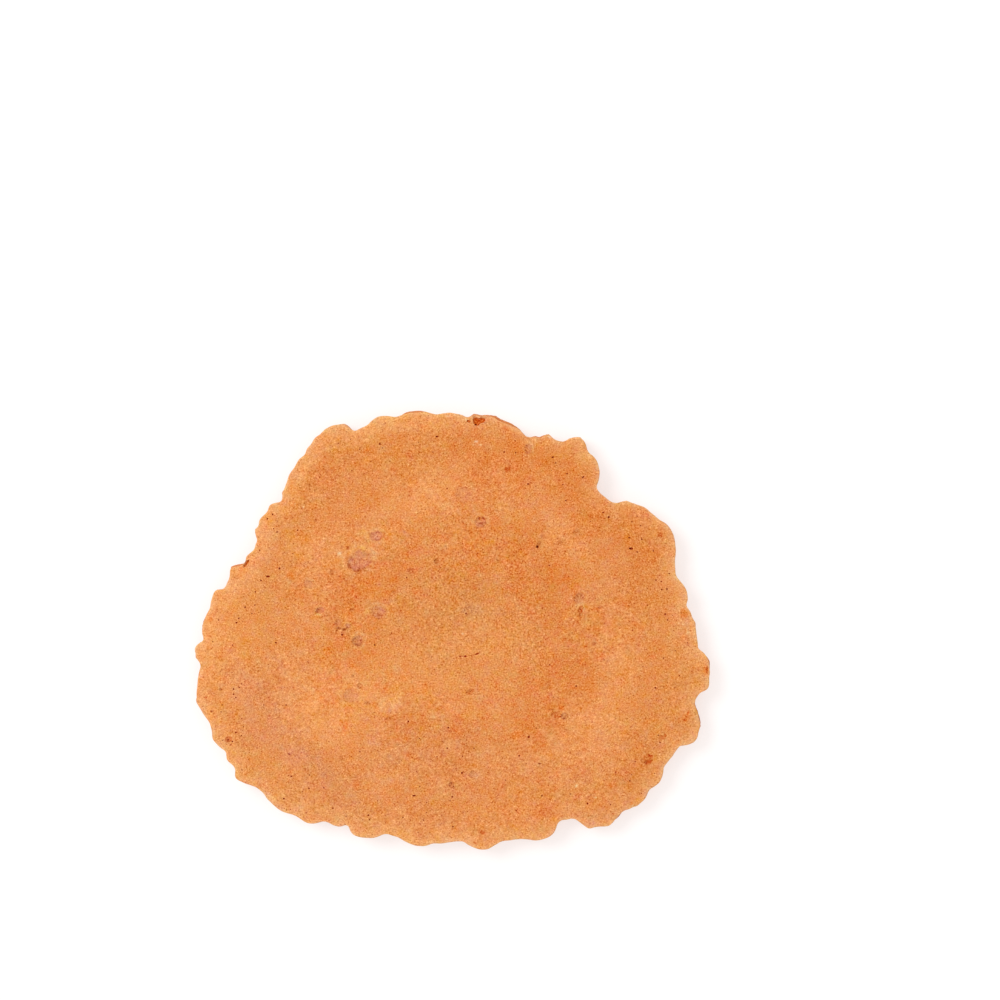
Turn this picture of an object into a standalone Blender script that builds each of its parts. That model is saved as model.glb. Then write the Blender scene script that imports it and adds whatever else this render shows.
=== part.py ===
"""A crisp oat cookie, baked thin and flat, as one solid.

Its rim is a chain of uneven lobes between sharp notches. The baked skin on top ends in a thin lip,
a crease runs under the lip, and below it the side is a soft roll down to a flat sole. Shallow
blisters dent the top, and a bubble has torn open at the rim.
"""

import math
import random

import bmesh
import bpy
from mathutils import Vector
from mathutils.geometry import delaunay_2d_cdt

MM = 0.001

THICKNESS = 4.4  # mm, from the sole to the top skin
LIFT = 0.5  # mm, the most that the rim curls up off the table
FLAT_SHARE = 0.74  # share of the reach that stays flat on the table

# The rim, anticlockwise from +X. A lobe starts at a notch: its bearing in degrees, its reach from
# the middle in mm, how far the lobe swells past the line to the next notch in mm (under zero it
# sinks in), and how far along that line its crest lies, from 0 to 1.
RIM_LOBES = (
    (5.9, 41.4, 0.80, 0.38),
    (13.5, 40.4, 0.00, 0.50),
    (18.2, 41.0, 1.35, 0.55),
    (29.0, 40.9, 1.25, 0.62),
    (37.6, 36.6, -0.65, 0.45),
    (44.6, 35.7, 1.10, 0.38),
    (51.8, 39.4, 1.65, 0.58),
    (59.6, 38.4, 0.00, 0.50),
    (62.2, 37.9, 0.55, 0.45),
    (65.0, 37.5, -0.10, 0.50),
    (69.2, 36.3, 0.50, 0.50),
    (76.4, 37.8, 0.65, 0.62),
    (85.9, 37.3, 0.60, 0.45),
    (94.1, 37.8, 0.90, 0.55),
    (104.3, 38.6, 0.80, 0.66),
    (112.2, 38.9, 0.05, 0.50),
    (116.3, 39.0, 1.45, 0.38),
    (123.6, 41.3, 0.65, 0.45),
    (130.0, 40.2, 0.75, 0.58),
    (142.8, 37.4, 0.70, 0.60),
    (147.2, 38.4, 1.05, 0.52),
    (155.9, 37.4, -0.20, 0.40),
    (162.4, 38.6, 1.05, 0.42),
    (166.8, 40.0, 0.05, 0.50),
    (169.9, 40.4, 1.25, 0.24),
    (175.0, 42.7, 0.65, 0.50),
    (182.4, 43.5, 1.60, 0.40),
    (187.6, 44.4, 1.30, 0.56),
    (200.0, 45.5, 0.90, 0.68),
    (208.0, 45.0, 0.45, 0.45),
    (212.7, 45.1, 1.00, 0.46),
    (218.0, 44.4, -0.10, 0.50),
    (221.5, 43.8, 0.60, 0.40),
    (230.2, 42.5, 0.75, 0.55),
    (236.0, 40.4, 0.50, 0.70),
    (241.5, 38.8, 1.50, 0.40),
    (251.8, 37.7, 0.00, 0.50),
    (255.0, 37.6, 0.80, 0.62),
    (264.5, 37.6, 0.05, 0.50),
    (273.2, 37.2, 1.30, 0.50),
    (282.3, 38.1, -0.10, 0.50),
    (288.0, 38.6, 1.70, 0.60),
    (299.2, 38.3, -0.15, 0.60),
    (303.0, 39.4, 0.70, 0.50),
    (305.4, 42.3, 0.90, 0.47),
    (313.0, 43.6, 0.10, 0.50),
    (315.5, 44.2, 0.55, 0.42),
    (321.0, 44.6, 0.65, 0.45),
    (327.3, 44.2, 0.05, 0.50),
    (333.0, 44.8, 2.15, 0.33),
    (343.4, 44.3, 0.00, 0.50),
    (346.0, 44.8, 0.85, 0.36),
    (349.8, 45.6, 1.10, 0.50),
    (356.0, 43.1, 0.45, 0.55),
)
ARCH_POWER = 2.4  # 2 is a parabola between two notches, and more is squarer

# The side, from the lip down: how far it stands in from the outline in mm, and its height as a
# share of the thickness.
SIDE_PROFILE = (
    (0.10, 0.90),
    (0.42, 0.74),
    (0.14, 0.60),
    (0.00, 0.42),
    (0.22, 0.20),
    (0.80, 0.05),
    (1.60, 0.00),
)
CREASE = 1  # the row of the profile that runs under the lip
CREASE_SWING = 0.22  # mm, how much the crease deepens and fades along the rim

SHOULDER_WIDTH = 1.9  # mm, where the skin on top starts to fall towards the lip

# The slow rise and fall of the skin: height in mm, turns per mm along x and y, and phase, each
# turn and phase in radians.
SKIN_SWELLS = (
    (0.10, 0.13, 0.07, 0.5),
    (0.10, 0.09, -0.16, 2.1),
    (0.06, 0.31, 0.22, 4.0),
)

# Blisters in the skin: x and y in mm, length and width in mm, turn in degrees, depth in mm.
BLISTERS = (
    (-16.3, 12.3, 4.3, 3.5, 20.0, 0.30),
    (-13.4, 16.5, 2.8, 1.8, 15.0, 0.25),
    (-13.1, 3.3, 2.8, 2.5, 0.0, 0.26),
    (-23.0, 3.7, 1.8, 1.4, 20.0, 0.22),
    (-19.5, 0.4, 2.6, 1.4, -25.0, 0.26),
    (-16.5, -1.7, 1.9, 1.9, 0.0, 0.24),
    (5.0, 18.9, 2.2, 2.0, 0.0, 0.26),
    (1.9, 24.2, 3.2, 3.0, 0.0, 0.16),
    (22.3, 5.6, 2.2, 1.9, 70.0, 0.28),
    (-17.9, -11.5, 2.4, 2.2, 0.0, 0.22),
    (19.0, -14.0, 2.9, 2.5, 30.0, 0.22),
    (34.2, -22.5, 2.0, 1.5, 15.0, 0.34),
    (-39.1, -19.0, 1.6, 1.5, 0.0, 0.26),
    (15.1, 15.1, 1.4, 1.2, 0.0, 0.34),
    (13.3, -23.9, 3.4, 2.6, 10.0, 0.16),
)
BLISTER_LIP = 0.06  # mm, the raised edge round a blister
BLISTER_LIP_WIDTH = 0.2  # of the blister's own half width

# Where the skin has torn open at the rim, in the same terms.
TEARS = (
    (4.3, 36.7, 2.4, 1.2, -8.0, 0.75),
    (-36.2, 11.5, 1.3, 0.8, 55.0, 0.55),
)
TEAR_WALL_POWER = 7  # how steeply its wall falls

RIM_POINTS = 360
RIM_STEPS = 3600  # steps round the rim when its length is measured
INSET_STEP = 0.4  # mm, the most that a ring moves in at once
SMOOTHED_INSET = 0.3  # mm, past which a ring's points are also evened out
TOP_RINGS = ((0.55, 2), (1.40, 3))  # mm in from the lip, and every how many rim points
TOP_PITCH = 2.9  # mm between the points of the skin
SOLE_PITCH = 7.0  # mm between the points of the sole
SOLE_STRIDE = 5  # rim points to one point where the sole leaves the table
DENT_POINT_GAP = 0.7  # mm along the edge of a blister or tear
DENT_RINGS = (1.0, 0.72, 0.35)
DENT_MARGIN = 1.25  # of a dent's half width, the zone that holds only the dent's own points
CLEARANCE = 0.75  # the points inside keep this share of their pitch from the rings
MERGE = 1e-5  # mm, the distance at which two points are one
SHARP_ANGLE = math.radians(50.0)
SEED = 7

BAKED_COLOUR = (0.76, 0.29, 0.095, 1.0)
BAKED_ROUGHNESS = 0.72


def lobe_arch(along, crest):
    """Height of a lobe of height 1 at a share of the way along it, with its crest where given."""
    squeezed = along ** (math.log(0.5) / math.log(crest))
    return 1.0 - abs(2.0 * squeezed - 1.0) ** ARCH_POWER


def rim_reach(bearing):
    """Distance from the middle to the rim, in mm, at a bearing in degrees."""
    for index, (start, reach, swell, crest) in enumerate(RIM_LOBES):
        end, next_reach = RIM_LOBES[(index + 1) % len(RIM_LOBES)][:2]
        span = (end - start) % 360.0
        along = ((bearing - start) % 360.0) / span
        if along <= 1.0:
            return reach + (next_reach - reach) * along + swell * lobe_arch(along, crest)
    raise ValueError(f"no lobe covers {bearing}")


def even_outline(count):
    """The rim as evenly spaced points in mm, with the middle of its box at the origin."""
    dense = []
    for step in range(RIM_STEPS):
        angle = math.tau * step / RIM_STEPS
        reach = rim_reach(math.degrees(angle))
        dense.append(Vector((reach * math.cos(angle), reach * math.sin(angle))))
    middle = Vector(
        (
            (max(p.x for p in dense) + min(p.x for p in dense)) / 2,
            (max(p.y for p in dense) + min(p.y for p in dense)) / 2,
        )
    )
    lengths = [(dense[(i + 1) % RIM_STEPS] - p).length for i, p in enumerate(dense)]
    gap = sum(lengths) / count
    points = []
    travelled = 0.0
    for index, length in enumerate(lengths):
        while len(points) < count and len(points) * gap < travelled + length:
            share = (len(points) * gap - travelled) / length
            following = dense[(index + 1) % RIM_STEPS]
            points.append(dense[index].lerp(following, share) - middle)
        travelled += length
    return points


def stepped_in(points, distance):
    """The closed outline moved inwards, a little at a time so that its notches stay open."""
    count = len(points)
    steps = max(1, math.ceil(distance / INSET_STEP))
    for _ in range(steps):
        moved = []
        for i, point in enumerate(points):
            along = points[(i + 2) % count] - points[i - 2]
            inward = Vector((-along.y, along.x)).normalized()
            moved.append(point + inward * (distance / steps))
        if distance > SMOOTHED_INSET:
            moved = [
                (moved[i - 1] + moved[i] * 2.0 + moved[(i + 1) % count]) / 4.0
                for i in range(count)
            ]
        points = moved
    return points


def rim_waves(cycles):
    """A smooth wave round the rim, from -1 to 1, made of seeded sines of the cycle counts given."""
    draw = random.Random(SEED * len(cycles) + sum(cycles))
    parts = [(number, draw.uniform(0.0, math.tau)) for number in cycles]

    def wave(bearing):
        return sum(math.sin(number * bearing + phase) for number, phase in parts) / len(parts)

    return wave


CURL_WAVE = rim_waves((2, 3, 5))
CREASE_WAVE = rim_waves((4, 9, 17))


def curl(x, y):
    """How far the cookie lifts off the table at a point, in mm: nothing in its flat middle."""
    bearing = math.atan2(y, x)
    share = math.hypot(x, y) / rim_reach(math.degrees(bearing) % 360.0)
    beyond = max(0.0, (share - FLAT_SHARE) / (1.0 - FLAT_SHARE))
    return LIFT * beyond * beyond * (0.5 + 0.5 * CURL_WAVE(bearing))


def skin_swell(x, y):
    """The slow rise and fall of the skin on top, in mm."""
    return sum(
        height * math.sin(turn_x * x + turn_y * y + phase)
        for height, turn_x, turn_y, phase in SKIN_SWELLS
    )


def dent_share(dent, x, y):
    """Where a point lies in a dent: 0 at its middle, 1 on its edge, more outside."""
    centre_x, centre_y, length, width, turn, _ = dent
    angle = math.radians(turn)
    across_x, across_y = x - centre_x, y - centre_y
    along = across_x * math.cos(angle) + across_y * math.sin(angle)
    aside = across_y * math.cos(angle) - across_x * math.sin(angle)
    return math.hypot(2.0 * along / length, 2.0 * aside / width)


def dent_depth(x, y):
    """How far the blisters and tears sink the skin at a point, in mm."""
    depth = 0.0
    for blister in BLISTERS:
        share = dent_share(blister, x, y)
        if share < 1.0:
            depth += blister[-1] * (1.0 - share**2)
        depth -= BLISTER_LIP * math.exp(-(((share - 1.0) / BLISTER_LIP_WIDTH) ** 2))
    for tear in TEARS:
        share = dent_share(tear, x, y)
        if share < 1.0:
            depth += tear[-1] * (1.0 - share**TEAR_WALL_POWER)
    return depth


def nearest_distance(outline, x, y):
    """Distance from a point to the closed outline, in mm."""
    point = Vector((x, y))
    best = math.inf
    for i, end in enumerate(outline):
        start = outline[i - 1]
        run = end - start
        share = min(1.0, max(0.0, (point - start).dot(run) / run.length_squared))
        best = min(best, (start + run * share - point).length_squared)
    return math.sqrt(best)


def skin_height(x, y, to_rim):
    """Height of the skin on top, in mm, at a point and its distance to the outline."""
    fall = max(0.0, 1.0 - to_rim / SHOULDER_WIDTH)
    lip_drop = THICKNESS * (1.0 - SIDE_PROFILE[0][1])
    settled = min(1.0, to_rim / SHOULDER_WIDTH)
    relief = skin_swell(x, y) * settled - dent_depth(x, y)
    return THICKNESS - lip_drop * fall * fall + relief + curl(x, y)


def side_rings(outline):
    """The rings of points down the side, from the lip to the edge of the sole, in mm."""
    rings = []
    for row, (inset, share) in enumerate(SIDE_PROFILE):
        ring = []
        for x, y in stepped_in(outline, inset):
            if row == CREASE:
                bearing = math.atan2(y, x)
                inward = 1.0 - CREASE_SWING * CREASE_WAVE(bearing) / math.hypot(x, y)
                x, y = x * inward, y * inward
            ring.append(Vector((x, y, THICKNESS * share + curl(x, y))))
        rings.append(ring)
    return rings


def dent_points(dent):
    """Rings of points round a dent and one in its middle, in mm."""
    centre_x, centre_y, length, width, turn, _ = dent
    angle = math.radians(turn)
    points = [(centre_x, centre_y)]
    for ring in DENT_RINGS:
        count = max(6, round(math.pi * (length + width) / 2 * ring / DENT_POINT_GAP))
        for step in range(count):
            around = math.tau * step / count
            along = math.cos(around) * length / 2 * ring
            aside = math.sin(around) * width / 2 * ring
            points.append(
                (
                    centre_x + along * math.cos(angle) - aside * math.sin(angle),
                    centre_y + along * math.sin(angle) + aside * math.cos(angle),
                )
            )
    return points


def hexagon_points(pitch, reach):
    """A field of evenly spaced points in mm, in rows turned half a step from each other."""
    row_gap = pitch * math.sqrt(3.0) / 2.0
    rows = math.ceil(reach / row_gap)
    columns = math.ceil(reach / pitch)
    for row in range(-rows, rows + 1):
        for column in range(-columns, columns + 1):
            yield (column + 0.5 * (row % 2)) * pitch, row * row_gap


def skin_points(outline):
    """Points inside the lip that carry the skin's shape, in mm."""
    dents = BLISTERS + TEARS
    found = []
    for inset, stride in TOP_RINGS:
        found += [(p.x, p.y) for p in stepped_in(outline, inset)[::stride]]
    ring_inset = TOP_RINGS[-1][0]
    for x, y in hexagon_points(TOP_PITCH, max(p.length for p in outline)):
        if math.hypot(x, y) > rim_reach(math.degrees(math.atan2(y, x)) % 360.0):
            continue
        if nearest_distance(outline, x, y) > ring_inset + CLEARANCE * TOP_PITCH:
            found.append((x, y))
    clear = [p for p in found if all(dent_share(dent, *p) > DENT_MARGIN for dent in dents)]
    for dent in dents:
        clear += dent_points(dent)
    return clear


def sole_points(outline):
    """Points inside the sole's edge: a ring where it leaves the table, and the flat field, in mm."""
    found = [(p.x, p.y) for p in (point * FLAT_SHARE for point in outline[::SOLE_STRIDE])]
    flat_reach = min(math.hypot(*p) for p in found) - CLEARANCE * SOLE_PITCH
    for point in hexagon_points(SOLE_PITCH, flat_reach):
        if math.hypot(*point) < flat_reach:
            found.append(point)
    return found


def fill_ring(builder, ring, inner_points, height):
    """Fill a closed ring of vertices with triangles through the points inside it."""
    count = len(ring)
    flat = [Vector((vertex.co.x, vertex.co.y)) / MM for vertex in ring]
    flat += [Vector(point) for point in inner_points]
    edges = [(i, (i + 1) % count) for i in range(count)]
    inside_only = 1
    places, _, faces, origins, _, _ = delaunay_2d_cdt(
        flat, edges, [list(range(count))], inside_only, MERGE
    )
    vertices = []
    for place, sources in zip(places, origins):
        on_ring = [source for source in sources if source < count]
        if on_ring:
            vertices.append(ring[on_ring[0]])
        else:
            at = Vector((place.x, place.y, height(place.x, place.y))) * MM
            vertices.append(builder.verts.new(at))
    for face in faces:
        builder.faces.new([vertices[i] for i in face])


def build_cookie():
    """The whole cookie as one closed mesh, in metres."""
    outline = even_outline(RIM_POINTS)
    builder = bmesh.new()
    rings = [
        [builder.verts.new(point * MM) for point in ring] for ring in side_rings(outline)
    ]
    for upper, lower in zip(rings, rings[1:]):
        for i in range(RIM_POINTS):
            builder.faces.new((upper[i - 1], lower[i - 1], lower[i], upper[i]))

    fill_ring(
        builder,
        rings[0],
        skin_points(outline),
        lambda x, y: skin_height(x, y, nearest_distance(outline, x, y)),
    )
    fill_ring(builder, rings[-1], sole_points(outline), curl)

    bmesh.ops.triangulate(builder, faces=builder.faces)
    bmesh.ops.recalc_face_normals(builder, faces=builder.faces)
    mesh = bpy.data.meshes.new("cookie")
    builder.to_mesh(mesh)
    builder.free()
    mesh.shade_smooth()
    mesh.set_sharp_from_angle(angle=SHARP_ANGLE)
    return mesh


def baked_dough():
    """The baked dough's plain material."""
    material = bpy.data.materials.new("baked_dough")
    material.use_nodes = True
    shader = material.node_tree.nodes["Principled BSDF"]
    shader.inputs["Base Color"].default_value = BAKED_COLOUR
    shader.inputs["Roughness"].default_value = BAKED_ROUGHNESS
    shader.inputs["Metallic"].default_value = 0.0
    return material


def main():
    for leftover in list(bpy.data.objects):
        bpy.data.objects.remove(leftover)
    mesh = build_cookie()
    mesh.materials.append(baked_dough())
    cookie = bpy.data.objects.new("cookie", mesh)
    bpy.context.scene.collection.objects.link(cookie)


main()
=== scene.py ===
"""The looks of a crisp oat cookie, baked thin and flat from one piece of dough.

The frame holds the cookie as a solid. Its outline, thickness and curl are measured on that solid,
and a fine closed mesh is laid over it. What is one of a kind, such as the lip, the blisters and the
torn bubble, is shaped and stained point by point. What repeats or follows a line, such as the
relief, the pores and the crack, is made by geometry nodes. Lengths are in mm unless a name says
otherwise, and x, y and z are those of the frame.
"""

import logging
import math
from collections.abc import Iterable, Sequence
from dataclasses import dataclass, field, replace
from enum import Enum, IntEnum
from typing import Any

import bpy
import numpy as np
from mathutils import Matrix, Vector, noise
from mathutils.bvhtree import BVHTree
from mathutils.geometry import delaunay_2d_cdt
from mathutils.kdtree import KDTree


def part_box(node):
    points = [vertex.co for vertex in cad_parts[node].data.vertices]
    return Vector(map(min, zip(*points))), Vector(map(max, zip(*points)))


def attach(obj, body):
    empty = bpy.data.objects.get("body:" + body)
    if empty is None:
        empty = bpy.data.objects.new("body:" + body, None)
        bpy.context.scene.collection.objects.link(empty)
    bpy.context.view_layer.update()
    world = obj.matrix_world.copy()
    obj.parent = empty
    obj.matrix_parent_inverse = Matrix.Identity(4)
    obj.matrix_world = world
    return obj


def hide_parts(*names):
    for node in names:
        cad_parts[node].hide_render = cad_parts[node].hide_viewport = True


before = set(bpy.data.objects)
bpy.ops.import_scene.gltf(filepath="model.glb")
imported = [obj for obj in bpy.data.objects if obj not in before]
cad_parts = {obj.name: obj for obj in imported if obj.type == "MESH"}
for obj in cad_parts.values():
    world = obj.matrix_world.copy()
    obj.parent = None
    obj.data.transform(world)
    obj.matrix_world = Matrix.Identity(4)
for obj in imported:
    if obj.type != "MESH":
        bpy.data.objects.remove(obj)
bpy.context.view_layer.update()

log = logging.getLogger("oat_cookie")

MM = 0.001  # metres
SEED = 7
COOKIE_NODE = "cookie"
BODY = "root"

# In the studio a level surface looks this much brighter than its own colour, plus a white sheen.
STUDIO_GAIN = 1.27
STUDIO_SHEEN = 0.01

Array = np.ndarray
Socket = bpy.types.NodeSocket
Colour = tuple[float, float, float, float]
Ends = tuple[float, float]
Feed = float | tuple[float, ...] | Socket | bpy.types.Object | bpy.types.Material
Feeds = dict[str | int, Feed]
Inputs = Sequence[tuple[str, str, Any]]


def linear(level: float) -> float:
    """Turns one channel as a screen shows it, from 0 to 1, into linear light."""
    return level / 12.92 if level <= 0.04045 else ((level + 0.055) / 1.055) ** 2.4


def looks(red: int, green: int, blue: int) -> Colour:
    """Gives the colour that a surface has where the studio light makes it look as given.

    Args:
        red: The red of the look on a screen, from 0 to 255.
        green: Its green.
        blue: Its blue.

    Returns:
        The linear colour, with an alpha of 1.
    """
    lights = [linear(level / 255.0) - STUDIO_SHEEN for level in (red, green, blue)]
    shares = [max(light, 0.0) / STUDIO_GAIN for light in lights]
    return (shares[0], shares[1], shares[2], 1.0)


class Tint(Enum):
    """What the oven did to the dough at one place, as the colour that it took there."""

    BLUSH = looks(224, 147, 108)  # thin skin over a bubble
    ASH = looks(206, 134, 92)  # dull, with the bubble just under it
    RUST = looks(174, 80, 32)  # scorched
    RED = looks(202, 88, 24)  # caught bright by the heat
    EMBER = looks(226, 104, 14)  # brighter still
    ORANGE = looks(230, 122, 44)  # richly toasted
    AMBER = looks(221, 124, 56)  # toasted through
    TAN = looks(208, 141, 84)  # dull
    PEACH = looks(248, 166, 99)  # hardly browned
    ROSE = looks(215, 138, 90)  # dull and a little pink
    BRICK = looks(237, 137, 74)  # browned by the hot tray
    STRAW = looks(250, 196, 138)  # dry and pale
    FLOUR = looks(254, 216, 164)  # a grain of flour
    CREASE = looks(202, 92, 36)  # painted shade in the crease under the lip


BLUSH, ASH, RUST, RED, EMBER, ORANGE, AMBER, TAN, PEACH, ROSE, BRICK, STRAW, FLOUR, CREASE = Tint


class Area(IntEnum):
    """The parts of the surface that have a finish of their own, in material slot order."""

    SKIN = 0
    SIDE = 1
    SOLE = 2
    CRUMB = 3
    PORE = 4


# ---- How values rise, fall and vary from place to place ----


LAYER_GAP = 17.3  # between one noise and the next, in features of each


def smooth_step(values: Array, start: float, end: float) -> Array:
    """Rises smoothly from 0 to 1 while the values go from the start to the end."""
    share = np.clip((values - start) / (end - start), 0.0, 1.0)
    return share * share * (3.0 - 2.0 * share)


def bell(values: Array | float, middle: float, width: float) -> Array:
    """Rises to 1 where the values reach the middle, and falls off within the width on each side."""
    return np.exp(-(((values - middle) / width) ** 2))


def bearing_apart(bearings: Array, bearing: float) -> Array:
    """Gives how far bearings lie from another, all in degrees, from -180 to 180."""
    return (bearings - bearing + 180.0) % 360.0 - 180.0


def wobble(points: Array, size: float, layer: int) -> Array:
    """Gives smooth noise, mostly between -0.6 and 0.6.

    Args:
        points: Where to read it, in two or three columns.
        size: The size of its features.
        layer: A number that picks another noise.

    Returns:
        The noise at each point.
    """
    scaled = np.zeros((len(points), 3))
    scaled[:, : points.shape[1]] = points / size
    scaled[:, 2] += layer * LAYER_GAP
    return np.array([noise.noise(place) for place in scaled])


@dataclass(frozen=True)
class Uneven:
    """How something varies from place to place: smooth noise about a middle value, within limits."""

    layer: int  # which noise it is, so that no two things vary alike
    size: float  # of its features
    strength: float = 1.0
    middle: float = 0.0
    lowest: float = -math.inf
    highest: float = math.inf

    def at(self, points: Array) -> Array:
        """Gives its value at points in two or three columns."""
        values = self.middle + self.strength * wobble(points, self.size, self.layer)
        return np.clip(values, self.lowest, self.highest)


RAGGEDNESS = (Uneven(0, 1.3, strength=0.22), Uneven(0, 0.5, strength=0.12))  # of the lip
SLOW_SWAY = Uneven(1, 5.5)  # of the side, in and out
KNOBBLES = (Uneven(2, 2.1), Uneven(3, 0.8, strength=0.5))  # of the roll
# Sways the bands painted on the side's levels: the pale lip, and the painted shade in the crease under it.
STAIN_AND_SHADE_SWAY = Uneven(4, 2.4, strength=0.7, middle=1.0, lowest=0.3, highest=1.3)
SPOT_CRINKLE = Uneven(5, 0.9, strength=0.22, middle=1.0)
TEAR_CRINKLE = Uneven(6, 0.5, strength=0.12, middle=1.0)
BLISTER_SKIN = Uneven(7, 0.45)
BAKING_SWAY = Uneven(8, 13.0, strength=0.16)
PATCHINESS = (Uneven(9, 2.6, strength=0.6, middle=0.8), Uneven(10, 1.0, strength=0.35))
LIP_FLOUR = Uneven(11, 2.2, strength=1.2, middle=0.8, lowest=0.0, highest=1.3)
CRUMBLING = (Uneven(12, 0.9), Uneven(13, 0.45))  # of the outline
# Sways the roll's darker band, which is browning and painted shade of its steep side.
SCORCH_AND_SHADE_SWAY = Uneven(14, 1.7, strength=0.9, middle=1.0, lowest=0.3, highest=1.4)
STREAKS = Uneven(15, 0.8)  # on the roll
TANNING = Uneven(16, 7.0, strength=0.5, middle=0.22, lowest=0.0, highest=0.5)


def paint(tint: Array, colour: Tint, strength: Array) -> None:
    """Lays a colour over what is painted already, as a thin coat over another.

    Args:
        tint: The paint on each point, as red, green, blue and strength, which is changed.
        colour: The colour to lay on.
        strength: How strongly, for each point.
    """
    strength = np.clip(strength, 0.0, 1.0)
    covered = strength + tint[:, 3] * (1.0 - strength)
    new_share = np.divide(strength, covered, out=np.zeros_like(covered), where=covered > 0.0)
    tint[:, :3] += (np.array(colour.value[:3]) - tint[:, :3]) * new_share[:, None]
    tint[:, 3] = covered


# ---- What the oven left on the skin and the sole ----


@dataclass(frozen=True)
class Oval:
    """An oval place on the skin, given by its middle, length, width and turn."""

    x: float
    y: float
    length: float
    width: float
    turn: float  # the bearing of its length, in degrees

    def share(self, points: Array) -> Array:
        """Tells where points lie in the oval.

        Args:
            points: The points, whose first two columns count.

        Returns:
            For each, 0 at the oval's middle, 1 on its edge and more outside.
        """
        angle = math.radians(self.turn)
        across = points[:, :2] - (self.x, self.y)
        along = across @ (math.cos(angle), math.sin(angle))
        aside = across @ (-math.sin(angle), math.cos(angle))
        return np.hypot(2.0 * along / self.length, 2.0 * aside / self.width)

    def ringed(self, rings: Sequence[float], gap: float) -> Iterable[tuple[float, float]]:
        """Spreads points over the oval, on rings round its middle.

        Args:
            rings: The rings, each as a share of the oval.
            gap: The distance between points along a ring.

        Yields:
            The points' places.
        """
        angle = math.radians(self.turn)
        yield self.x, self.y
        for ring in rings:
            count = max(6, round(math.pi * (self.length + self.width) / 2.0 * ring / gap))
            for step in range(count):
                around = math.tau * (step + ring) / count
                along = math.cos(around) * self.length / 2.0 * ring
                aside = math.sin(around) * self.width / 2.0 * ring
                yield (
                    self.x + along * math.cos(angle) - aside * math.sin(angle),
                    self.y + along * math.sin(angle) + aside * math.cos(angle),
                )


@dataclass(frozen=True)
class Band:
    """A ring of colour round a blister, stronger here and weaker there."""

    tint: Tint
    middle: float  # as a share of the blister
    width: float
    strength: float
    all_round: float  # how much of it there is everywhere
    dark_side: float  # how much more of it there is on the blister's darker side
    uneven: float  # how much more of it there is where the blister's skin rises

    def at(self, share: Array, dark_side: Array, uneven: Array) -> Array:
        """Gives its strength at points, by their share of the blister, their side and the unevenness."""
        kept = np.clip(self.all_round + self.dark_side * dark_side + self.uneven * uneven, 0.0, 1.0)
        return bell(share, self.middle, self.width) * kept


@dataclass(frozen=True)
class Spot(Oval):
    """A small oval place on the skin: a blister, a scorch or a pale fleck."""

    depth: float
    tint: Tint
    strength: float

    soft_edge: Ends = (0.55, 1.2)  # the shares between which a plain spot fades
    rings: tuple[float, ...] = (0.45, 0.9, 1.35)  # of the points that carry it
    blister_width: float = 0.85  # a spot with depth that is wider than this is a blister
    blister_rings: tuple[float, ...] = (0.2, 0.4, 0.6, 0.8, 1.0, 1.2, 1.4)
    lip: float = 0.045  # how high a blister's edge stands
    lip_width: float = 0.22
    inside: Ends = (0.8, 1.15)  # the shares between which a blister's own colour fades
    coverage: Ends = (0.9, 0.6)  # of that colour, plain and by the unevenness
    streak_ends: Ends = (0.02, 0.40)  # the unevenness between which a blister is streaked
    streaks: Ends = (0.25, 0.5)  # their strength all round, and how much more on the darker side
    streak_strength: float = 0.7
    dark_side_bearing: float = -115.0  # degrees to the side on which a blister's edge is painted darker
    bands: tuple[Band, ...] = (
        Band(RUST, 0.96, 0.17, strength=0.5, all_round=0.15, dark_side=0.65, uneven=0.9),
        # A pale ring outside the blister, strongest away from its darker side: a painted highlight.
        Band(STRAW, 1.40, 0.20, strength=0.6, all_round=0.8, dark_side=-0.5, uneven=-1.1),
    )

    def blister(self) -> bool:
        """Tells whether the spot is wide and deep enough to be a blister."""
        return self.depth > 0.0 and self.width > self.blister_width

    def sink(self, share: Array) -> Array:
        """Gives how far the spot sinks the skin.

        Args:
            share: Where the points lie in the spot.

        Returns:
            The depth at each.
        """
        depth = self.depth * np.clip(1.0 - share**2, 0.0, None)
        if self.blister():
            depth -= self.lip * bell(share, 1.0, self.lip_width)
        return depth

    def paint_on(self, tint: Array, places: Array, share: Array) -> None:
        """Colours the skin: the spot itself, and a blister's edge, darker on one side, and its pale outer
        ring, which is a painted highlight.

        Args:
            tint: The paint on each point, which is changed.
            places: The points.
            share: Where the points lie in the spot.
        """
        if not self.blister():
            paint(tint, self.tint, self.strength * (1.0 - smooth_step(share, *self.soft_edge)))
            return
        uneven = BLISTER_SKIN.at(places)
        bearing = np.arctan2(places[:, 1] - self.y, places[:, 0] - self.x)
        dark_side = 0.5 + 0.5 * np.cos(bearing - math.radians(self.dark_side_bearing))
        inside = 1.0 - smooth_step(share, *self.inside)
        covered = np.clip(self.coverage[0] + self.coverage[1] * uneven, 0.0, 1.0)
        paint(tint, self.tint, self.strength * inside * covered)
        streaks = smooth_step(uneven, *self.streak_ends) * (self.streaks[0] + self.streaks[1] * dark_side)
        paint(tint, RUST, self.streak_strength * self.strength * inside * streaks)
        for band in self.bands:
            paint(tint, band.tint, band.strength * self.strength * band.at(share, dark_side, uneven))

    def places(self, gap: float) -> Iterable[tuple[float, float]]:
        """Gives points that carry the spot's shape, on rings around its middle."""
        return self.ringed(self.blister_rings if self.blister() else self.rings, gap)


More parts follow.
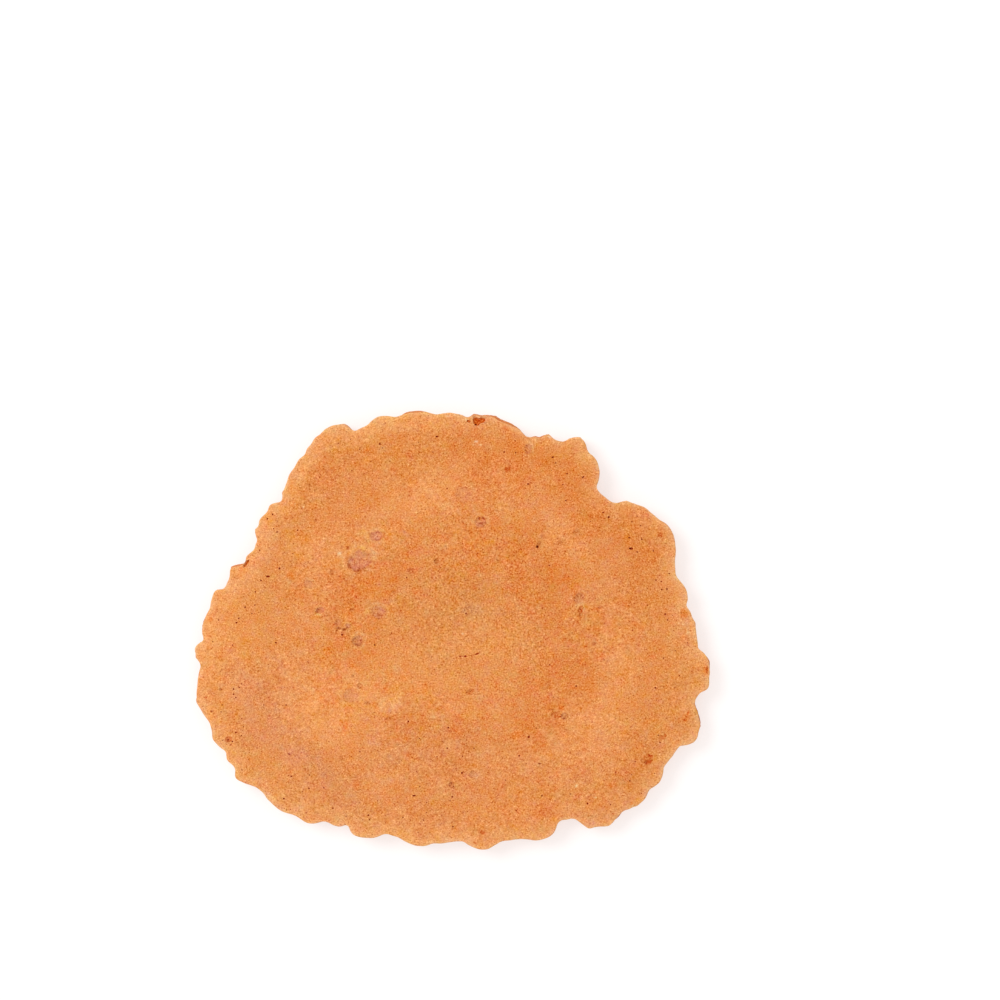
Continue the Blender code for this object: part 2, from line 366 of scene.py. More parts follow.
@dataclass(frozen=True)
class Patch(Oval):
    """A broad, soft-edged part of the skin that the oven browned more or less than the rest."""

    tint: Tint
    strength: float

    soft_edge: Ends = (0.3, 1.6)  # the shares between which it fades

    def paint_on(self, tint: Array, places: Array) -> None:
        """Colours the skin, unevenly and with no edge.

        Args:
            tint: The paint on each point, which is changed.
            places: The points.
        """
        share = self.share(places)
        near = share < self.soft_edge[1]
        patchy = sum(uneven.at(places[near]) for uneven in PATCHINESS)
        painted = tint[near]
        paint(painted, self.tint, self.strength * (1.0 - smooth_step(share[near], *self.soft_edge)) * patchy)
        tint[near] = painted


@dataclass(frozen=True)
class Tear(Oval):
    """A bubble at the rim that has burst: a ragged hole with steep walls."""

    depth: float
    corners: int = 3
    corner_swell: float = 0.16  # how far a corner stands out, of the hole's reach
    corner_bearing: float = 90.0  # degrees from the hole's length to a corner
    wall_power: float = 9.0  # how steeply the wall falls
    rings: tuple[float, ...] = (1.16, 1.0, 0.94, 0.84, 0.6, 0.3)

    def share(self, points: Array) -> Array:
        """Tells where points lie in the hole.

        Args:
            points: The points, whose first two columns count.

        Returns:
            For each, 0 at the hole's middle and 1 on its ragged edge.
        """
        across = points[:, :2] - (self.x, self.y)
        bearing = np.arctan2(across[:, 1], across[:, 0]) - math.radians(self.turn + self.corner_bearing)
        return super().share(points) / (1.0 + self.corner_swell * np.cos(self.corners * bearing))

    def sink(self, share: Array) -> Array:
        """Gives how far the hole sinks the skin at points of the given shares."""
        return self.depth * np.clip(1.0 - share**self.wall_power, 0.0, None)

    def places(self, gap: float) -> Iterable[tuple[float, float]]:
        """Gives points that carry the hole's walls and floor."""
        return self.ringed(self.rings, gap)


@dataclass(frozen=True)
class Setback:
    """A stretch of the rim where the lip stands back, so that the roll under it shows."""

    bearing: float  # degrees
    span: float  # degrees
    depth: float
    scorch_and_shade: float = 0.0  # how strongly the roll is painted darker there, as browning and as painted shade of its steep side

    def share(self, bearings: Array) -> Array:
        """Tells how far bearings in degrees lie in the stretch: 1 in it, 0 well away from it."""
        return np.exp(-((2.0 * bearing_apart(bearings, self.bearing) / self.span) ** 4))


@dataclass(frozen=True)
class Tooth:
    """A small corner of the outline that stands out, or a nick in it where it stands in."""

    bearing: float  # degrees
    span: float  # degrees
    out: float

    def at(self, bearings: Array) -> Array:
        """Gives how far the outline stands out at bearings in degrees."""
        apart = np.abs(bearing_apart(bearings, self.bearing))
        return self.out * np.clip(1.0 - 2.0 * apart / self.span, 0.0, None)


# Blisters, scorches and flecks: x, y, length, width, turn in degrees, depth, tint and strength.
SPOT_ROWS = (
    (-16.3, 12.2, 4.2, 3.5, 20, 0.22, BLUSH, 0.95),
    (-18.0, 11.2, 0.7, 1.3, 25, 0.1, RUST, 0.25),
    (-15.2, 10.9, 0.9, 0.7, 0, 0.06, RUST, 0.16), (-17.0, 11.0, 0.5, 0.9, 30, 0.0, RUST, 0.2),
    (-19.8, 13.4, 0.9, 0.5, 30, 0.0, FLOUR, 0.7),
    (-19.3, 14.6, 0.4, 0.6, 0, 0.05, RUST, 0.45),
    (-13.4, 16.5, 2.6, 1.6, 15, 0.15, BLUSH, 0.85),
    (4.9, 18.9, 2.0, 1.9, 0, 0.16, BLUSH, 0.72), (4.7, 19.6, 0.5, 0.4, 0, 0.14, RUST, 0.65),
    (5.4, 19.6, 0.6, 0.4, -10, 0.14, RUST, 0.65), (5.5, 18.7, 0.9, 0.7, 0, 0.08, RUST, 0.5),
    (4.4, 17.9, 0.6, 0.3, 0, 0.08, RUST, 0.5), (-13.1, 3.2, 2.6, 2.2, 0, 0.2, BLUSH, 0.75),
    (-12.8, 2.6, 1.2, 0.6, 0, 0.06, RUST, 0.5), (-23.1, 3.5, 1.6, 1.1, 10, 0.18, BLUSH, 0.7),
    # The pale FLOUR crescent at (-23.5, 2.7), under the blister at (-23.1, 3.5), is a painted highlight.
    (-23.6, 3.4, 0.4, 0.9, 0, 0.06, RUST, 0.4), (-23.5, 2.7, 1.2, 0.4, -5, 0.0, FLOUR, 0.75),
    (-20.1, 1.3, 1.1, 1.0, 0, 0.16, ASH, 0.5), (-19.9, 0.3, 1.2, 0.4, -8, 0.2, RUST, 0.85),
    (-18.9, 0.1, 0.9, 0.5, 15, 0.2, RUST, 0.85), (-18.2, 0.8, 0.9, 0.9, 0, 0.12, BLUSH, 0.75),
    (-20.2, -0.1, 0.4, 0.4, 0, 0.1, RUST, 0.6), (-16.6, -1.8, 2.0, 1.9, 0, 0.2, ASH, 0.75),
    (-16.4, -2.5, 1.2, 0.5, -5, 0.06, RUST, 0.45),
    (-7.2, 10.4, 1.4, 1.0, -20, 0.12, RUST, 0.28),
    (-2.8, 12.1, 0.9, 0.9, 0, 0.16, RUST, 0.55), (1.9, 23.8, 3.1, 2.8, 0, 0.1, BLUSH, 0.4),
    (9.7, 28.2, 1.3, 1.1, 0, 0.0, RED, 0.55), (9.4, 28.1, 0.5, 0.8, 10, 0.06, RED, 0.9),
    (10.0, 28.2, 0.4, 0.6, 0, 0.04, RED, 0.8), (15.2, 15.1, 1.3, 0.7, 65, 0.1, RUST, 0.5),
    (14.9, 14.6, 0.5, 0.5, 0, 0.25, RUST, 0.8), (19.0, 15.3, 1.4, 1.0, 0, 0.08, RUST, 0.32),
    (15.9, 16.3, 0.9, 0.9, 0, 0.06, ASH, 0.35), (21.6, 17.2, 1.0, 0.9, 0, 0.08, RUST, 0.3),
    (22.3, 5.7, 2.1, 1.8, 30, 0.16, ASH, 0.52), (22.5, 3.6, 0.8, 1.6, -10, 0.08, RED, 0.75),
    (22.5, 3.8, 0.4, 0.8, 0, 0.0, RUST, 0.45), (22.4, 2.3, 0.5, 1.1, 5, 0.06, RUST, 0.35),
    (22.0, 4.4, 0.8, 0.5, 0, 0.0, STRAW, 0.2), (25.8, 3.9, 0.7, 0.5, 0, 0.08, RUST, 0.35),
    (-17.8, -11.5, 2.6, 2.4, 0, 0.16, BLUSH, 0.46),
    (-14.9, -12.8, 1.2, 0.8, 0, 0.12, RUST, 0.38),
    (-16.2, -9.7, 0.9, 0.9, 0, 0.12, RUST, 0.4), (-17.4, -8.0, 0.5, 0.5, 0, 0.14, RUST, 0.55),
    (-10.9, -13.0, 4.5, 3.8, 30, 0.0, STRAW, 0.26),
    (18.2, -14.8, 1.7, 1.1, 0, 0.1, RED, 0.42), (19.6, -15.0, 1.3, 1.1, 0, 0.12, ASH, 0.7),
    (19.2, -13.6, 0.9, 1.4, 0, 0.0, ORANGE, 0.6), (17.0, -13.9, 0.6, 0.2, 0, 0.06, RUST, 0.5),
    (34.2, -22.6, 2.1, 1.6, 20, 0.0, RED, 0.45), (34.5, -23.1, 1.3, 0.8, 20, 0.14, RED, 0.9),
    (34.7, -22.0, 1.1, 0.6, -20, 0.1, RED, 0.95),
    (33.9, -23.1, 0.6, 0.6, 0, 0.08, RUST, 0.65), (33.1, -22.7, 0.7, 0.6, 0, 0.06, RUST, 0.5),
    (34.1, -22.4, 0.4, 0.3, 0, 0.0, PEACH, 0.6),
    (-39.2, -19.1, 1.2, 1.0, 15, 0.12, RED, 0.55),
    (-39.2, -19.3, 0.4, 0.5, 15, 0.1, RUST, 0.65),
    (-38.8, -20.1, 0.6, 0.25, 35, 0.06, RUST, 0.6),
    (-37.8, -19.7, 0.5, 0.2, 25, 0.05, RUST, 0.55), (13.2, 31.8, 1.3, 1.8, 0, 0.06, ASH, 0.6),
    (-25.2, 8.1, 1.8, 1.4, -20, 0.1, BLUSH, 0.45),
    (-17.6, 3.5, 0.9, 0.7, 20, 0.14, RUST, 0.5), (-21.2, 10.1, 0.9, 0.9, 0, 0.06, RUST, 0.3),
    (-18.3, 14.4, 0.7, 0.7, 0, 0.1, RUST, 0.45), (8.0, 14.5, 1.0, 0.7, 30, 0.08, RUST, 0.35),
    (3.2, 3.4, 2.8, 1.8, 0, 0.08, ASH, 0.35), (3.1, -10.7, 1.6, 1.0, 30, 0.1, RUST, 0.3),
    (-0.1, -27.1, 1.2, 1.0, 0, 0.14, RUST, 0.35),
    (-10.4, -22.5, 2.4, 2.1, 0, 0.08, BLUSH, 0.25),
    (-19.3, -22.3, 1.2, 0.9, 0, 0.06, RUST, 0.25), (3.6, -25.2, 1.6, 1.4, 0, 0.08, ASH, 0.55),
    (13.2, -23.8, 3.5, 2.4, 0, 0.06, STRAW, 0.16),
    (-6.0, -35.4, 2.1, 1.6, 0, 0.05, RUST, 0.14), (5.2, -35.4, 1.5, 0.7, -25, 0.12, RED, 0.8),
    (4.0, -37.3, 0.9, 0.4, -20, 0.08, RED, 0.6),
    (41.0, -15.2, 2.4, 1.6, 60, 0.0, ORANGE, 0.5),
    (41.3, -14.5, 0.9, 0.35, 70, 0.08, EMBER, 0.9),
    (40.7, -15.7, 0.7, 0.4, 20, 0.08, RED, 0.7), (41.0, -15.1, 0.5, 0.3, 120, 0.05, RED, 0.6),
    (36.8, -18.8, 1.2, 0.8, 0, 0.06, RED, 0.6), (37.3, -18.4, 0.4, 0.8, 10, 0.08, RED, 0.8),
    (-40.6, -10.4, 0.6, 0.5, 0, 0.16, RUST, 0.75), (-43.2, -11.8, 0.5, 0.5, 0, 0.1, RED, 0.7),
    (-42.1, -14.2, 0.7, 0.4, 0, 0.14, RUST, 0.8),
    (-43.3, -8.0, 1.6, 2.4, -10, 0.0, ORANGE, 0.12),
    (-43.7, -12.9, 1.2, 2.2, 10, 0.0, STRAW, 0.12),
    (-42.4, 1.9, 1.0, 0.9, 0, 0.0, ORANGE, 0.5),
    (-31.5, -29.3, 2.6, 0.9, -38, 0.0, STRAW, 0.4),
    (30.5, -30.2, 1.4, 0.9, 20, 0.0, BLUSH, 0.45),
    (31.4, -30.4, 0.8, 0.5, 30, 0.0, ORANGE, 0.55),
    (31.6, -30.8, 0.6, 0.4, 0, 0.0, FLOUR, 0.6), (28.2, -32.2, 0.6, 0.5, 0, 0.06, RED, 0.5),
    (20.9, 31.9, 0.7, 0.5, 40, 0.04, RED, 0.45), (24.0, 30.4, 1.2, 0.8, -40, 0.0, STRAW, 0.4),
    (-0.7, 37.5, 0.9, 0.4, 10, 0.0, FLOUR, 0.7), (2.4, 36.9, 0.7, 0.5, 0, 0.0, FLOUR, 0.75),
    (39.7, 1.3, 0.5, 0.4, 0, 0.0, FLOUR, 0.55), (40.4, 1.0, 0.6, 0.3, -30, 0.04, STRAW, 0.7),
    (41.5, 1.1, 0.8, 0.3, 10, 0.0, STRAW, 0.6), (40.0, 0.3, 0.6, 0.4, 0, 0.0, STRAW, 0.45),
    (41.2, 0.2, 0.7, 0.3, 50, 0.0, STRAW, 0.5), (40.4, 1.9, 0.5, 0.3, 0, 0.1, RED, 0.5),
    (40.6, -1.2, 1.3, 1.0, 0, 0.0, ORANGE, 0.4), (44.6, -6.9, 1.4, 2.0, 0, 0.0, ORANGE, 0.75),
    (44.8, -6.9, 0.8, 1.4, 0, 0.06, RED, 0.65), (40.6, 2.9, 1.7, 2.2, 20, 0.0, ORANGE, 0.68),
    (40.7, 2.7, 0.9, 0.8, 40, 0.04, RED, 0.35), (36.8, 16.9, 2.2, 1.6, 0, 0.0, ORANGE, 0.34),
    (36.6, 16.7, 1.0, 0.8, 0, 0.08, RED, 0.75), (24.9, -2.4, 0.9, 0.7, 0, 0.12, RUST, 0.5),
    (-33.5, -27.1, 1.2, 0.7, 20, 0.08, RED, 0.35),
    (-23.9, 19.2, 0.7, 0.7, 0, 0.06, RUST, 0.4),
    (-25.1, 25.4, 0.9, 0.5, -30, 0.08, RUST, 0.35),
    (-10.3, 6.7, 0.7, 0.5, 0, 0.1, RUST, 0.45), (-11.1, -15.4, 1.4, 0.5, 20, 0.1, RUST, 0.4),
    (-36.8, 11.2, 1.8, 1.0, 40, 0.0, EMBER, 0.45),
    (-28.4, 9.6, 1.6, 1.4, 0, 0.0, ORANGE, 0.5), (-13.9, 7.2, 3.8, 1.0, 5, 0.0, ORANGE, 0.28),
    (-20.2, -2.8, 4.5, 2.1, 0, 0.0, ORANGE, 0.2),
    (-19.7, -22.9, 2.8, 1.8, 0, 0.0, ORANGE, 0.14),
    (-16.9, -27.1, 1.4, 2.4, 0, 0.0, ORANGE, 0.4),
    (-4.8, -10.3, 1.4, 2.8, 0, 0.0, ORANGE, 0.4), (24.1, -9.8, 2.6, 2.6, 0, 0.0, ORANGE, 0.4),
    (11.3, -18.2, 2.8, 1.6, 20, 0.0, ORANGE, 0.52),
    (15.5, -31.8, 3.8, 2.8, 0, 0.0, ORANGE, 0.4), (19.7, 8.8, 2.8, 0.9, 5, 0.0, ORANGE, 0.45),
    (24.2, 20.0, 0.7, 1.0, 0, 0.0, RED, 0.35), (21.8, -27.2, 0.7, 0.5, 45, 0.0, FLOUR, 0.9),
    (25.1, -29.2, 0.7, 0.3, 0, 0.0, FLOUR, 0.9), (-27.5, 22.2, 0.5, 0.4, 0, 0.0, FLOUR, 0.7),
    (-26.0, 21.6, 0.4, 0.5, 0, 0.0, FLOUR, 0.8), (4.2, 33.0, 0.8, 0.5, -20, 0.0, FLOUR, 0.75),
    (3.7, 32.3, 0.6, 0.4, 20, 0.0, FLOUR, 0.6), (4.9, 32.5, 0.6, 0.5, 0, 0.0, FLOUR, 0.8),
    (1.8, -0.7, 0.5, 0.5, 0, 0.0, FLOUR, 0.9), (41.3, -0.4, 0.8, 0.5, 40, 0.0, FLOUR, 0.7),
    (16.9, 33.8, 0.7, 0.3, -20, 0.0, FLOUR, 0.9),
)
SPOTS = [Spot(*row) for row in SPOT_ROWS]

# Where the oven browned the skin more or less: x, y, length, width, turn, tint and strength.
PATCH_ROWS = (
    (-14.3, 5.7, 11.0, 9.0, 0, ORANGE, 0.24), (-17.2, -4.1, 9.0, 8.0, 0, AMBER, 0.33),
    (15.2, 8.7, 12.0, 10.0, -60, AMBER, 0.41), (11.3, 13.6, 10.0, 8.0, 0, AMBER, 0.26),
    (20.1, -9.0, 8.0, 10.0, 0, AMBER, 0.33), (15.2, -16.9, 11.0, 8.0, 30, AMBER, 0.37),
    (-6.4, -16.9, 9.0, 6.0, 0, AMBER, 0.32), (-2.5, -20.8, 22.0, 13.0, -8, ROSE, 0.32),
    (-27.0, 7.7, 9.0, 6.0, 0, ORANGE, 0.17), (0.5, 5.7, 16.0, 12.0, 0, TAN, 0.39),
    (-10.3, 2.8, 8.0, 8.0, 0, TAN, 0.2), (4.4, -2.1, 14.0, 8.0, 0, PEACH, 0.2),
    (-20.2, -13.9, 15.0, 12.0, -20, PEACH, 0.56), (-3.5, 23.9, 16.0, 8.0, 10, PEACH, 0.38),
    (-24.1, 13.6, 11.0, 8.0, 30, PEACH, 0.26), (-13.3, 17.5, 14.0, 7.0, 20, PEACH, 0.14),
    (25.5, -16.9, 15.0, 9.0, 50, PEACH, 0.38), (30.0, -4.0, 8.0, 13.0, 0, PEACH, 0.25),
    (21.0, 14.5, 12.0, 6.0, -50, PEACH, 0.23), (-37.8, 1.0, 8.0, 17.0, 0, PEACH, 0.25),
    (-34.9, -13.0, 9.0, 14.0, 15, ROSE, 0.36), (-26.0, -24.7, 21.0, 9.0, -38, ROSE, 0.36),
    (-15.2, -28.5, 16.0, 7.0, -12, ROSE, 0.18), (15.2, -32.0, 22.0, 6.0, 10, BRICK, 0.28),
    (-5.4, -32.6, 20.0, 6.0, 0, BRICK, 0.12), (32.9, -21.8, 12.0, 8.0, 48, AMBER, 0.22),
    (21.1, 25.3, 15.0, 9.0, -42, AMBER, 0.22), (34.8, 16.5, 8.0, 14.0, 20, AMBER, 0.18),
    (-13.3, 28.6, 24.0, 7.0, 15, AMBER, 0.18), (30.5, 9.0, 12.0, 26.0, 12, AMBER, 0.26),
    (12.5, 30.5, 24.0, 9.0, -18, AMBER, 0.3), (26.5, 19.5, 13.0, 13.0, 0, AMBER, 0.31),
    (-12.0, 24.0, 18.0, 6.0, 20, AMBER, 0.16), (-9.0, -8.5, 17.0, 11.0, -20, PEACH, 0.28),
    (3.5, -12.0, 15.0, 8.0, 0, PEACH, 0.26), (-39.5, -7.0, 7.0, 22.0, 10, PEACH, 0.32),
    (-31.0, -21.5, 14.0, 7.0, -45, PEACH, 0.2), (3.0, -28.0, 24.0, 8.0, 0, BRICK, 0.1),
    (-9.0, -36.0, 22.0, 5.0, -6, PEACH, 0.25), (13.5, 29.5, 14.0, 7.0, -20, ORANGE, 0.18),
    (-22.0, 24.0, 12.0, 7.0, 40, AMBER, 0.22), (-21.0, -7.5, 8.0, 8.0, 0, PEACH, 0.25),
    (-9.5, 9.5, 8.0, 7.0, 0, AMBER, 0.3), (-27.0, -26.5, 14.0, 6.0, -42, PEACH, 0.25),
    (2.0, -23.5, 16.0, 6.0, 0, AMBER, 0.15), (-12.0, -29.5, 10.0, 6.0, -10, PEACH, 0.2),
    (7.5, 28.0, 13.0, 8.0, 0, ORANGE, 0.31), (-14.0, -14.0, 8.0, 8.0, 0, PEACH, 0.2),
    (3.0, 11.5, 9.0, 7.0, 0, AMBER, 0.18), (-4.5, 1.5, 9.0, 8.0, 0, AMBER, 0.2),
    (12.5, -21.5, 11.0, 8.0, 0, AMBER, 0.14), (-16.0, -16.5, 12.0, 10.0, 0, BLUSH, 0.2),
    (-29.0, -20.0, 22.0, 7.0, -52, BLUSH, 0.18), (0.0, -32.0, 38.0, 8.0, 0, BLUSH, 0.18),
    (-19.0, 19.5, 14.0, 7.0, 45, ORANGE, 0.12), (21.0, 21.0, 14.0, 8.0, -45, ORANGE, 0.11),
    (8.0, 29.5, 22.0, 10.0, -8, AMBER, 0.2), (-8.5, 32.5, 18.0, 5.0, 15, ORANGE, 0.12),
    (36.5, -9.5, 6.0, 14.0, -15, ORANGE, 0.08), (-37.0, -9.0, 7.0, 16.0, 10, BLUSH, 0.14),
    (-25.0, -24.0, 7.0, 16.0, 45, BLUSH, 0.12), (-15.5, -15.0, 14.0, 12.0, 45, PEACH, 0.14),
    (8.5, -33.0, 16.0, 7.0, 10, PEACH, 0.2),
)
PATCHES = [Patch(*row) for row in PATCH_ROWS]

# The torn bubble at the top rim, with a small hole beside it, and the tear at the left rim.
TEARS = (
    Tear(4.5, 36.6, 2.2, 1.25, 8.0, 0.55, corners=3, corner_bearing=-112.0, corner_swell=0.25),
    Tear(2.85, 36.6, 0.6, 0.40, -20.0, 0.30, corners=2, corner_bearing=0.0, corner_swell=0.10),
    Tear(-36.1, 11.65, 1.5, 0.36, 56.0, 0.45, corners=2, corner_bearing=0.0, corner_swell=0.10),
)

# Where the lip stands back: bearing, span, depth, and how strongly the roll is painted darker there, as
# browning and as painted shade of its steep side.
SETBACK_ROWS = (
    (76.5, 9.0, 0.42, 0.2), (83.5, 6.0, 0.22, 0.2), (100.3, 6.0, 0.34, 0.25), (66.0, 2.5, 0.26, 0.2),
    (162.5, 3.0, 0.34), (140.0, 5.0, 0.16), (178.0, 7.0, 0.16, 0.75), (186.0, 3.0, 0.22, 0.3),
    (194.0, 11.0, 0.18, 0.9), (203.0, 4.0, 0.12, 0.6), (217.0, 5.0, 0.16, 0.75),
    (228.0, 6.0, 0.16, 0.75), (288.0, 14.0, 0.1, 0.5), (311.0, 5.0, 0.24, 0.9), (322.0, 4.0, 0.18, 0.3),
    (331.8, 2.5, 0.18, 0.75), (340.5, 8.0, 0.18, 0.9), (352.4, 3.0, 0.24, 0.65),
)
SETBACKS = [Setback(*row) for row in SETBACK_ROWS]

# Corners and nicks of the outline: bearing, span and how far it stands out.
TOOTH_ROWS = (
    (1.8, 2.5, 0.25), (6.3, 4.0, -0.3), (18.8, 6.0, 0.28), (27.6, 4.0, -0.3), (34.2, 5.0, -0.3),
    (36.8, 2.6, 0.45), (45.0, 3.5, -0.35), (53.0, 3.5, -0.4), (56.5, 3.0, 0.35), (64.4, 3.0, 0.35),
    (67.2, 3.0, 0.22), (78.5, 7.0, 0.38), (84.5, 3.0, 0.35), (98.8, 3.0, 0.24), (107.5, 4.5, 0.24),
    (116.2, 1.8, -0.4), (117.5, 1.8, 0.38), (122.6, 2.0, 0.3), (127.2, 2.4, -0.3), (131.9, 3.4, 0.4),
    (141.4, 3.6, 0.42), (145.6, 3.0, 0.24), (151.7, 1.8, -0.5), (153.3, 2.6, 0.4), (156.4, 2.0, 0.45),
    (160.2, 3.4, 0.5), (164.1, 2.6, 0.4), (168.2, 3.0, 0.33), (170.4, 3.0, 0.5), (180.0, 6.0, 0.2),
    (185.5, 4.5, 0.34), (191.7, 4.0, -0.2), (195.6, 3.6, 0.4), (199.6, 5.0, 0.26), (204.4, 2.4, 0.22),
    (209.7, 2.4, 0.24), (214.2, 4.0, 0.34), (227.0, 3.4, 0.2), (233.8, 4.0, 0.26), (238.4, 4.0, 0.24),
    (240.4, 1.4, 0.24), (242.4, 2.6, -0.36), (270.3, 5.0, -0.24), (298.1, 2.4, -0.28),
    (301.0, 3.0, 0.22), (304.3, 3.0, 0.58), (308.7, 3.6, 0.34), (314.9, 4.0, 0.26), (316.2, 1.2, 0.25),
    (324.0, 3.0, 0.18), (333.6, 2.4, -0.52), (336.2, 2.6, 0.24), (339.3, 4.6, 0.32), (347.1, 3.6, 0.34),
    (352.1, 6.0, 0.38),
)
TEETH = [Tooth(*row) for row in TOOTH_ROWS]

SOLE_TURN = 200.0  # degrees from a mark of the skin to its like on the sole
SOLE_SHARE = 0.92  # of its way out


def on_sole(mark: Spot | Patch) -> Spot | Patch:
    """Gives a mark of the skin its like on the sole, which was baked on the same hot plates.

    Args:
        mark: A blister or a patch of the skin.

    Returns:
        The same mark mirrored, turned round the middle and moved a little further in.
    """
    angle = math.radians(SOLE_TURN)
    x, y = -mark.x * SOLE_SHARE, mark.y * SOLE_SHARE
    return replace(
        mark,
        x=x * math.cos(angle) - y * math.sin(angle),
        y=x * math.sin(angle) + y * math.cos(angle),
        turn=SOLE_TURN - mark.turn,
    )


# The pores that stand out: x, y, length, width and turn in degrees.
MARKED_PORES = (
    (-32.3, 9.4, 0.73, 0.35, 0), (-33.5, 8.7, 0.32, 0.24, 0), (-30.3, 10.8, 0.32, 0.42, 0),
    (-34.5, 6.7, 0.28, 0.28, 0), (-34.6, 4.4, 0.24, 0.28, 0), (-36.3, 4.0, 0.32, 0.32, 0),
    (-35.1, 2.9, 0.24, 0.24, 0), (-37.4, 2.1, 0.28, 0.28, 0), (-37.8, 1.3, 0.35, 0.32, 0),
    (-38.5, -2.6, 0.21, 0.21, 0), (-30.9, -2.2, 0.35, 0.32, 0), (-38.3, -10.3, 0.3, 0.34, 0),
    (-38.3, -11.2, 0.28, 0.32, 0), (-37.9, -11.8, 0.28, 0.24, 0), (-37.3, -10.0, 0.32, 0.26, 20),
    (-36.9, -9.4, 0.24, 0.24, 0), (-33.0, -13.1, 0.24, 0.24, 0), (-29.1, -13.1, 0.28, 0.28, 0),
    (-36.9, -15.5, 0.21, 0.21, 0), (-36.6, -16.9, 0.21, 0.21, 0), (-37.9, -17.9, 0.32, 0.28, 0),
    (-38.5, -19.5, 0.24, 0.35, -45), (-28.6, -21.7, 0.24, 0.24, 0), (-29.5, -29.5, 0.35, 0.32, 0),
    (-28.2, -25.6, 0.32, 0.28, 0), (-25.1, -27.7, 0.28, 0.28, 0), (-22.5, -27.6, 0.24, 0.24, 0),
    (-25.6, -32.0, 0.21, 0.21, 0), (-14.7, -32.4, 0.35, 0.32, 0), (-14.5, -33.2, 0.28, 0.24, 0),
    (-18.8, -34.0, 0.24, 0.21, 0), (-6.7, -29.0, 0.63, 0.28, 0), (-4.5, -30.2, 0.21, 0.21, 0),
    (-5.7, -27.4, 0.24, 0.24, 0), (1.7, -25.0, 0.39, 0.39, 0), (-0.9, -20.7, 0.32, 0.32, 0),
    (3.8, -20.7, 0.24, 0.28, 0), (1.8, -22.1, 0.21, 0.28, 0), (-2.7, -22.2, 0.24, 0.24, 0),
    (-0.7, -17.1, 0.35, 0.28, 0), (-16.2, -21.3, 0.28, 0.24, 0), (0.0, -29.2, 0.32, 0.32, 0),
    (-0.4, -29.9, 0.24, 0.24, 0), (0.1, -34.4, 0.32, 0.28, 0), (11.7, -22.0, 0.32, 0.32, 0),
    (15.3, -23.4, 0.7, 0.21, 5), (15.7, -29.0, 0.21, 0.42, 0), (13.4, -18.7, 0.39, 0.49, 0),
    (23.7, -30.4, 0.28, 0.35, 30), (31.1, -26.4, 0.28, 0.28, 0), (36.4, -19.7, 0.26, 0.26, 0),
    (36.1, -18.4, 0.24, 0.24, 0), (35.6, -10.1, 0.32, 0.32, 0), (21.7, -9.8, 0.35, 0.28, 0),
    (26.6, -5.2, 0.21, 0.21, 0), (-2.7, 33.9, 0.49, 0.32, 0), (-12.7, 32.6, 0.35, 0.35, 0),
    (-3.4, 31.2, 0.21, 0.21, 0), (9.1, 31.2, 0.28, 0.32, 0), (11.1, 31.1, 0.21, 0.35, 0),
    (17.6, 30.3, 0.45, 0.32, 20), (18.1, 29.3, 0.24, 0.24, 0), (20.1, 27.4, 0.35, 0.28, 0),
    (22.9, 26.8, 0.52, 0.24, 50), (13.3, 25.6, 0.42, 0.32, 0), (-0.9, 24.8, 0.28, 0.28, 0),
    (26.4, 20.6, 0.32, 0.24, 0), (27.4, 19.8, 0.35, 0.45, -40), (33.0, 18.3, 0.24, 0.24, 0),
    (31.0, 16.2, 0.39, 0.24, 0), (33.2, 15.9, 0.32, 0.24, 0), (31.3, 14.3, 0.8, 0.42, -10),
    (32.4, 13.7, 0.28, 0.28, 0), (35.2, 13.9, 0.21, 0.39, 0), (38.0, 9.9, 0.32, 0.24, 0),
    (36.7, 7.1, 0.28, 0.28, 0), (37.6, 7.2, 0.28, 0.42, 0), (37.3, 2.8, 0.32, 0.32, 0),
    (37.7, 1.8, 0.28, 0.28, 0), (41.2, -2.2, 0.21, 0.21, 0), (39.1, -3.6, 0.21, 0.24, 0),
    (37.0, -4.9, 0.21, 0.24, 0), (33.4, -6.4, 0.21, 0.21, 0), (2.4, 2.9, 0.32, 0.28, 0),
    (-8.0, 9.2, 0.28, 0.24, 0), (-13.6, -2.6, 0.28, 0.28, 0), (-19.3, -0.8, 0.39, 0.39, 0),
    (-7.7, -16.0, 0.32, 0.32, 0), (-0.2, -26.8, 0.24, 0.24, 0), (0.2, -27.4, 0.24, 0.21, 0),
    (-27.1, 17.5, 0.28, 0.28, 0), (-30.7, 17.2, 0.28, 0.28, 0), (-31.3, 17.8, 0.21, 0.21, 0),
    (-32.4, 19.5, 0.32, 0.32, 0), (-31.5, 20.3, 0.24, 0.35, 40), (14.9, 14.6, 0.4, 0.42, 0),
    (4.1, 36.0, 0.42, 0.35, 0),
)

# The crack in the skin: x, y and width along it.
CRACK = (
    (1.10, -4.57, 0.04), (1.37, -4.58, 0.24), (1.60, -4.58, 0.03), (1.95, -4.58, 0.08),
    (2.30, -4.57, 0.40), (2.60, -4.54, 0.05), (3.10, -4.44, 0.07), (3.60, -4.36, 0.03),
    (3.95, -4.26, 0.08), (4.35, -4.16, 0.33), (4.70, -4.00, 0.10), (4.90, -3.92, 0.04),
)


# ---- Measuring the solid, and lines of points ----


INSET_STEP = 0.15
CDT_INSIDE = 1  # the kind of triangulation that keeps only triangles inside the line
CDT_NEAR = 1e-6


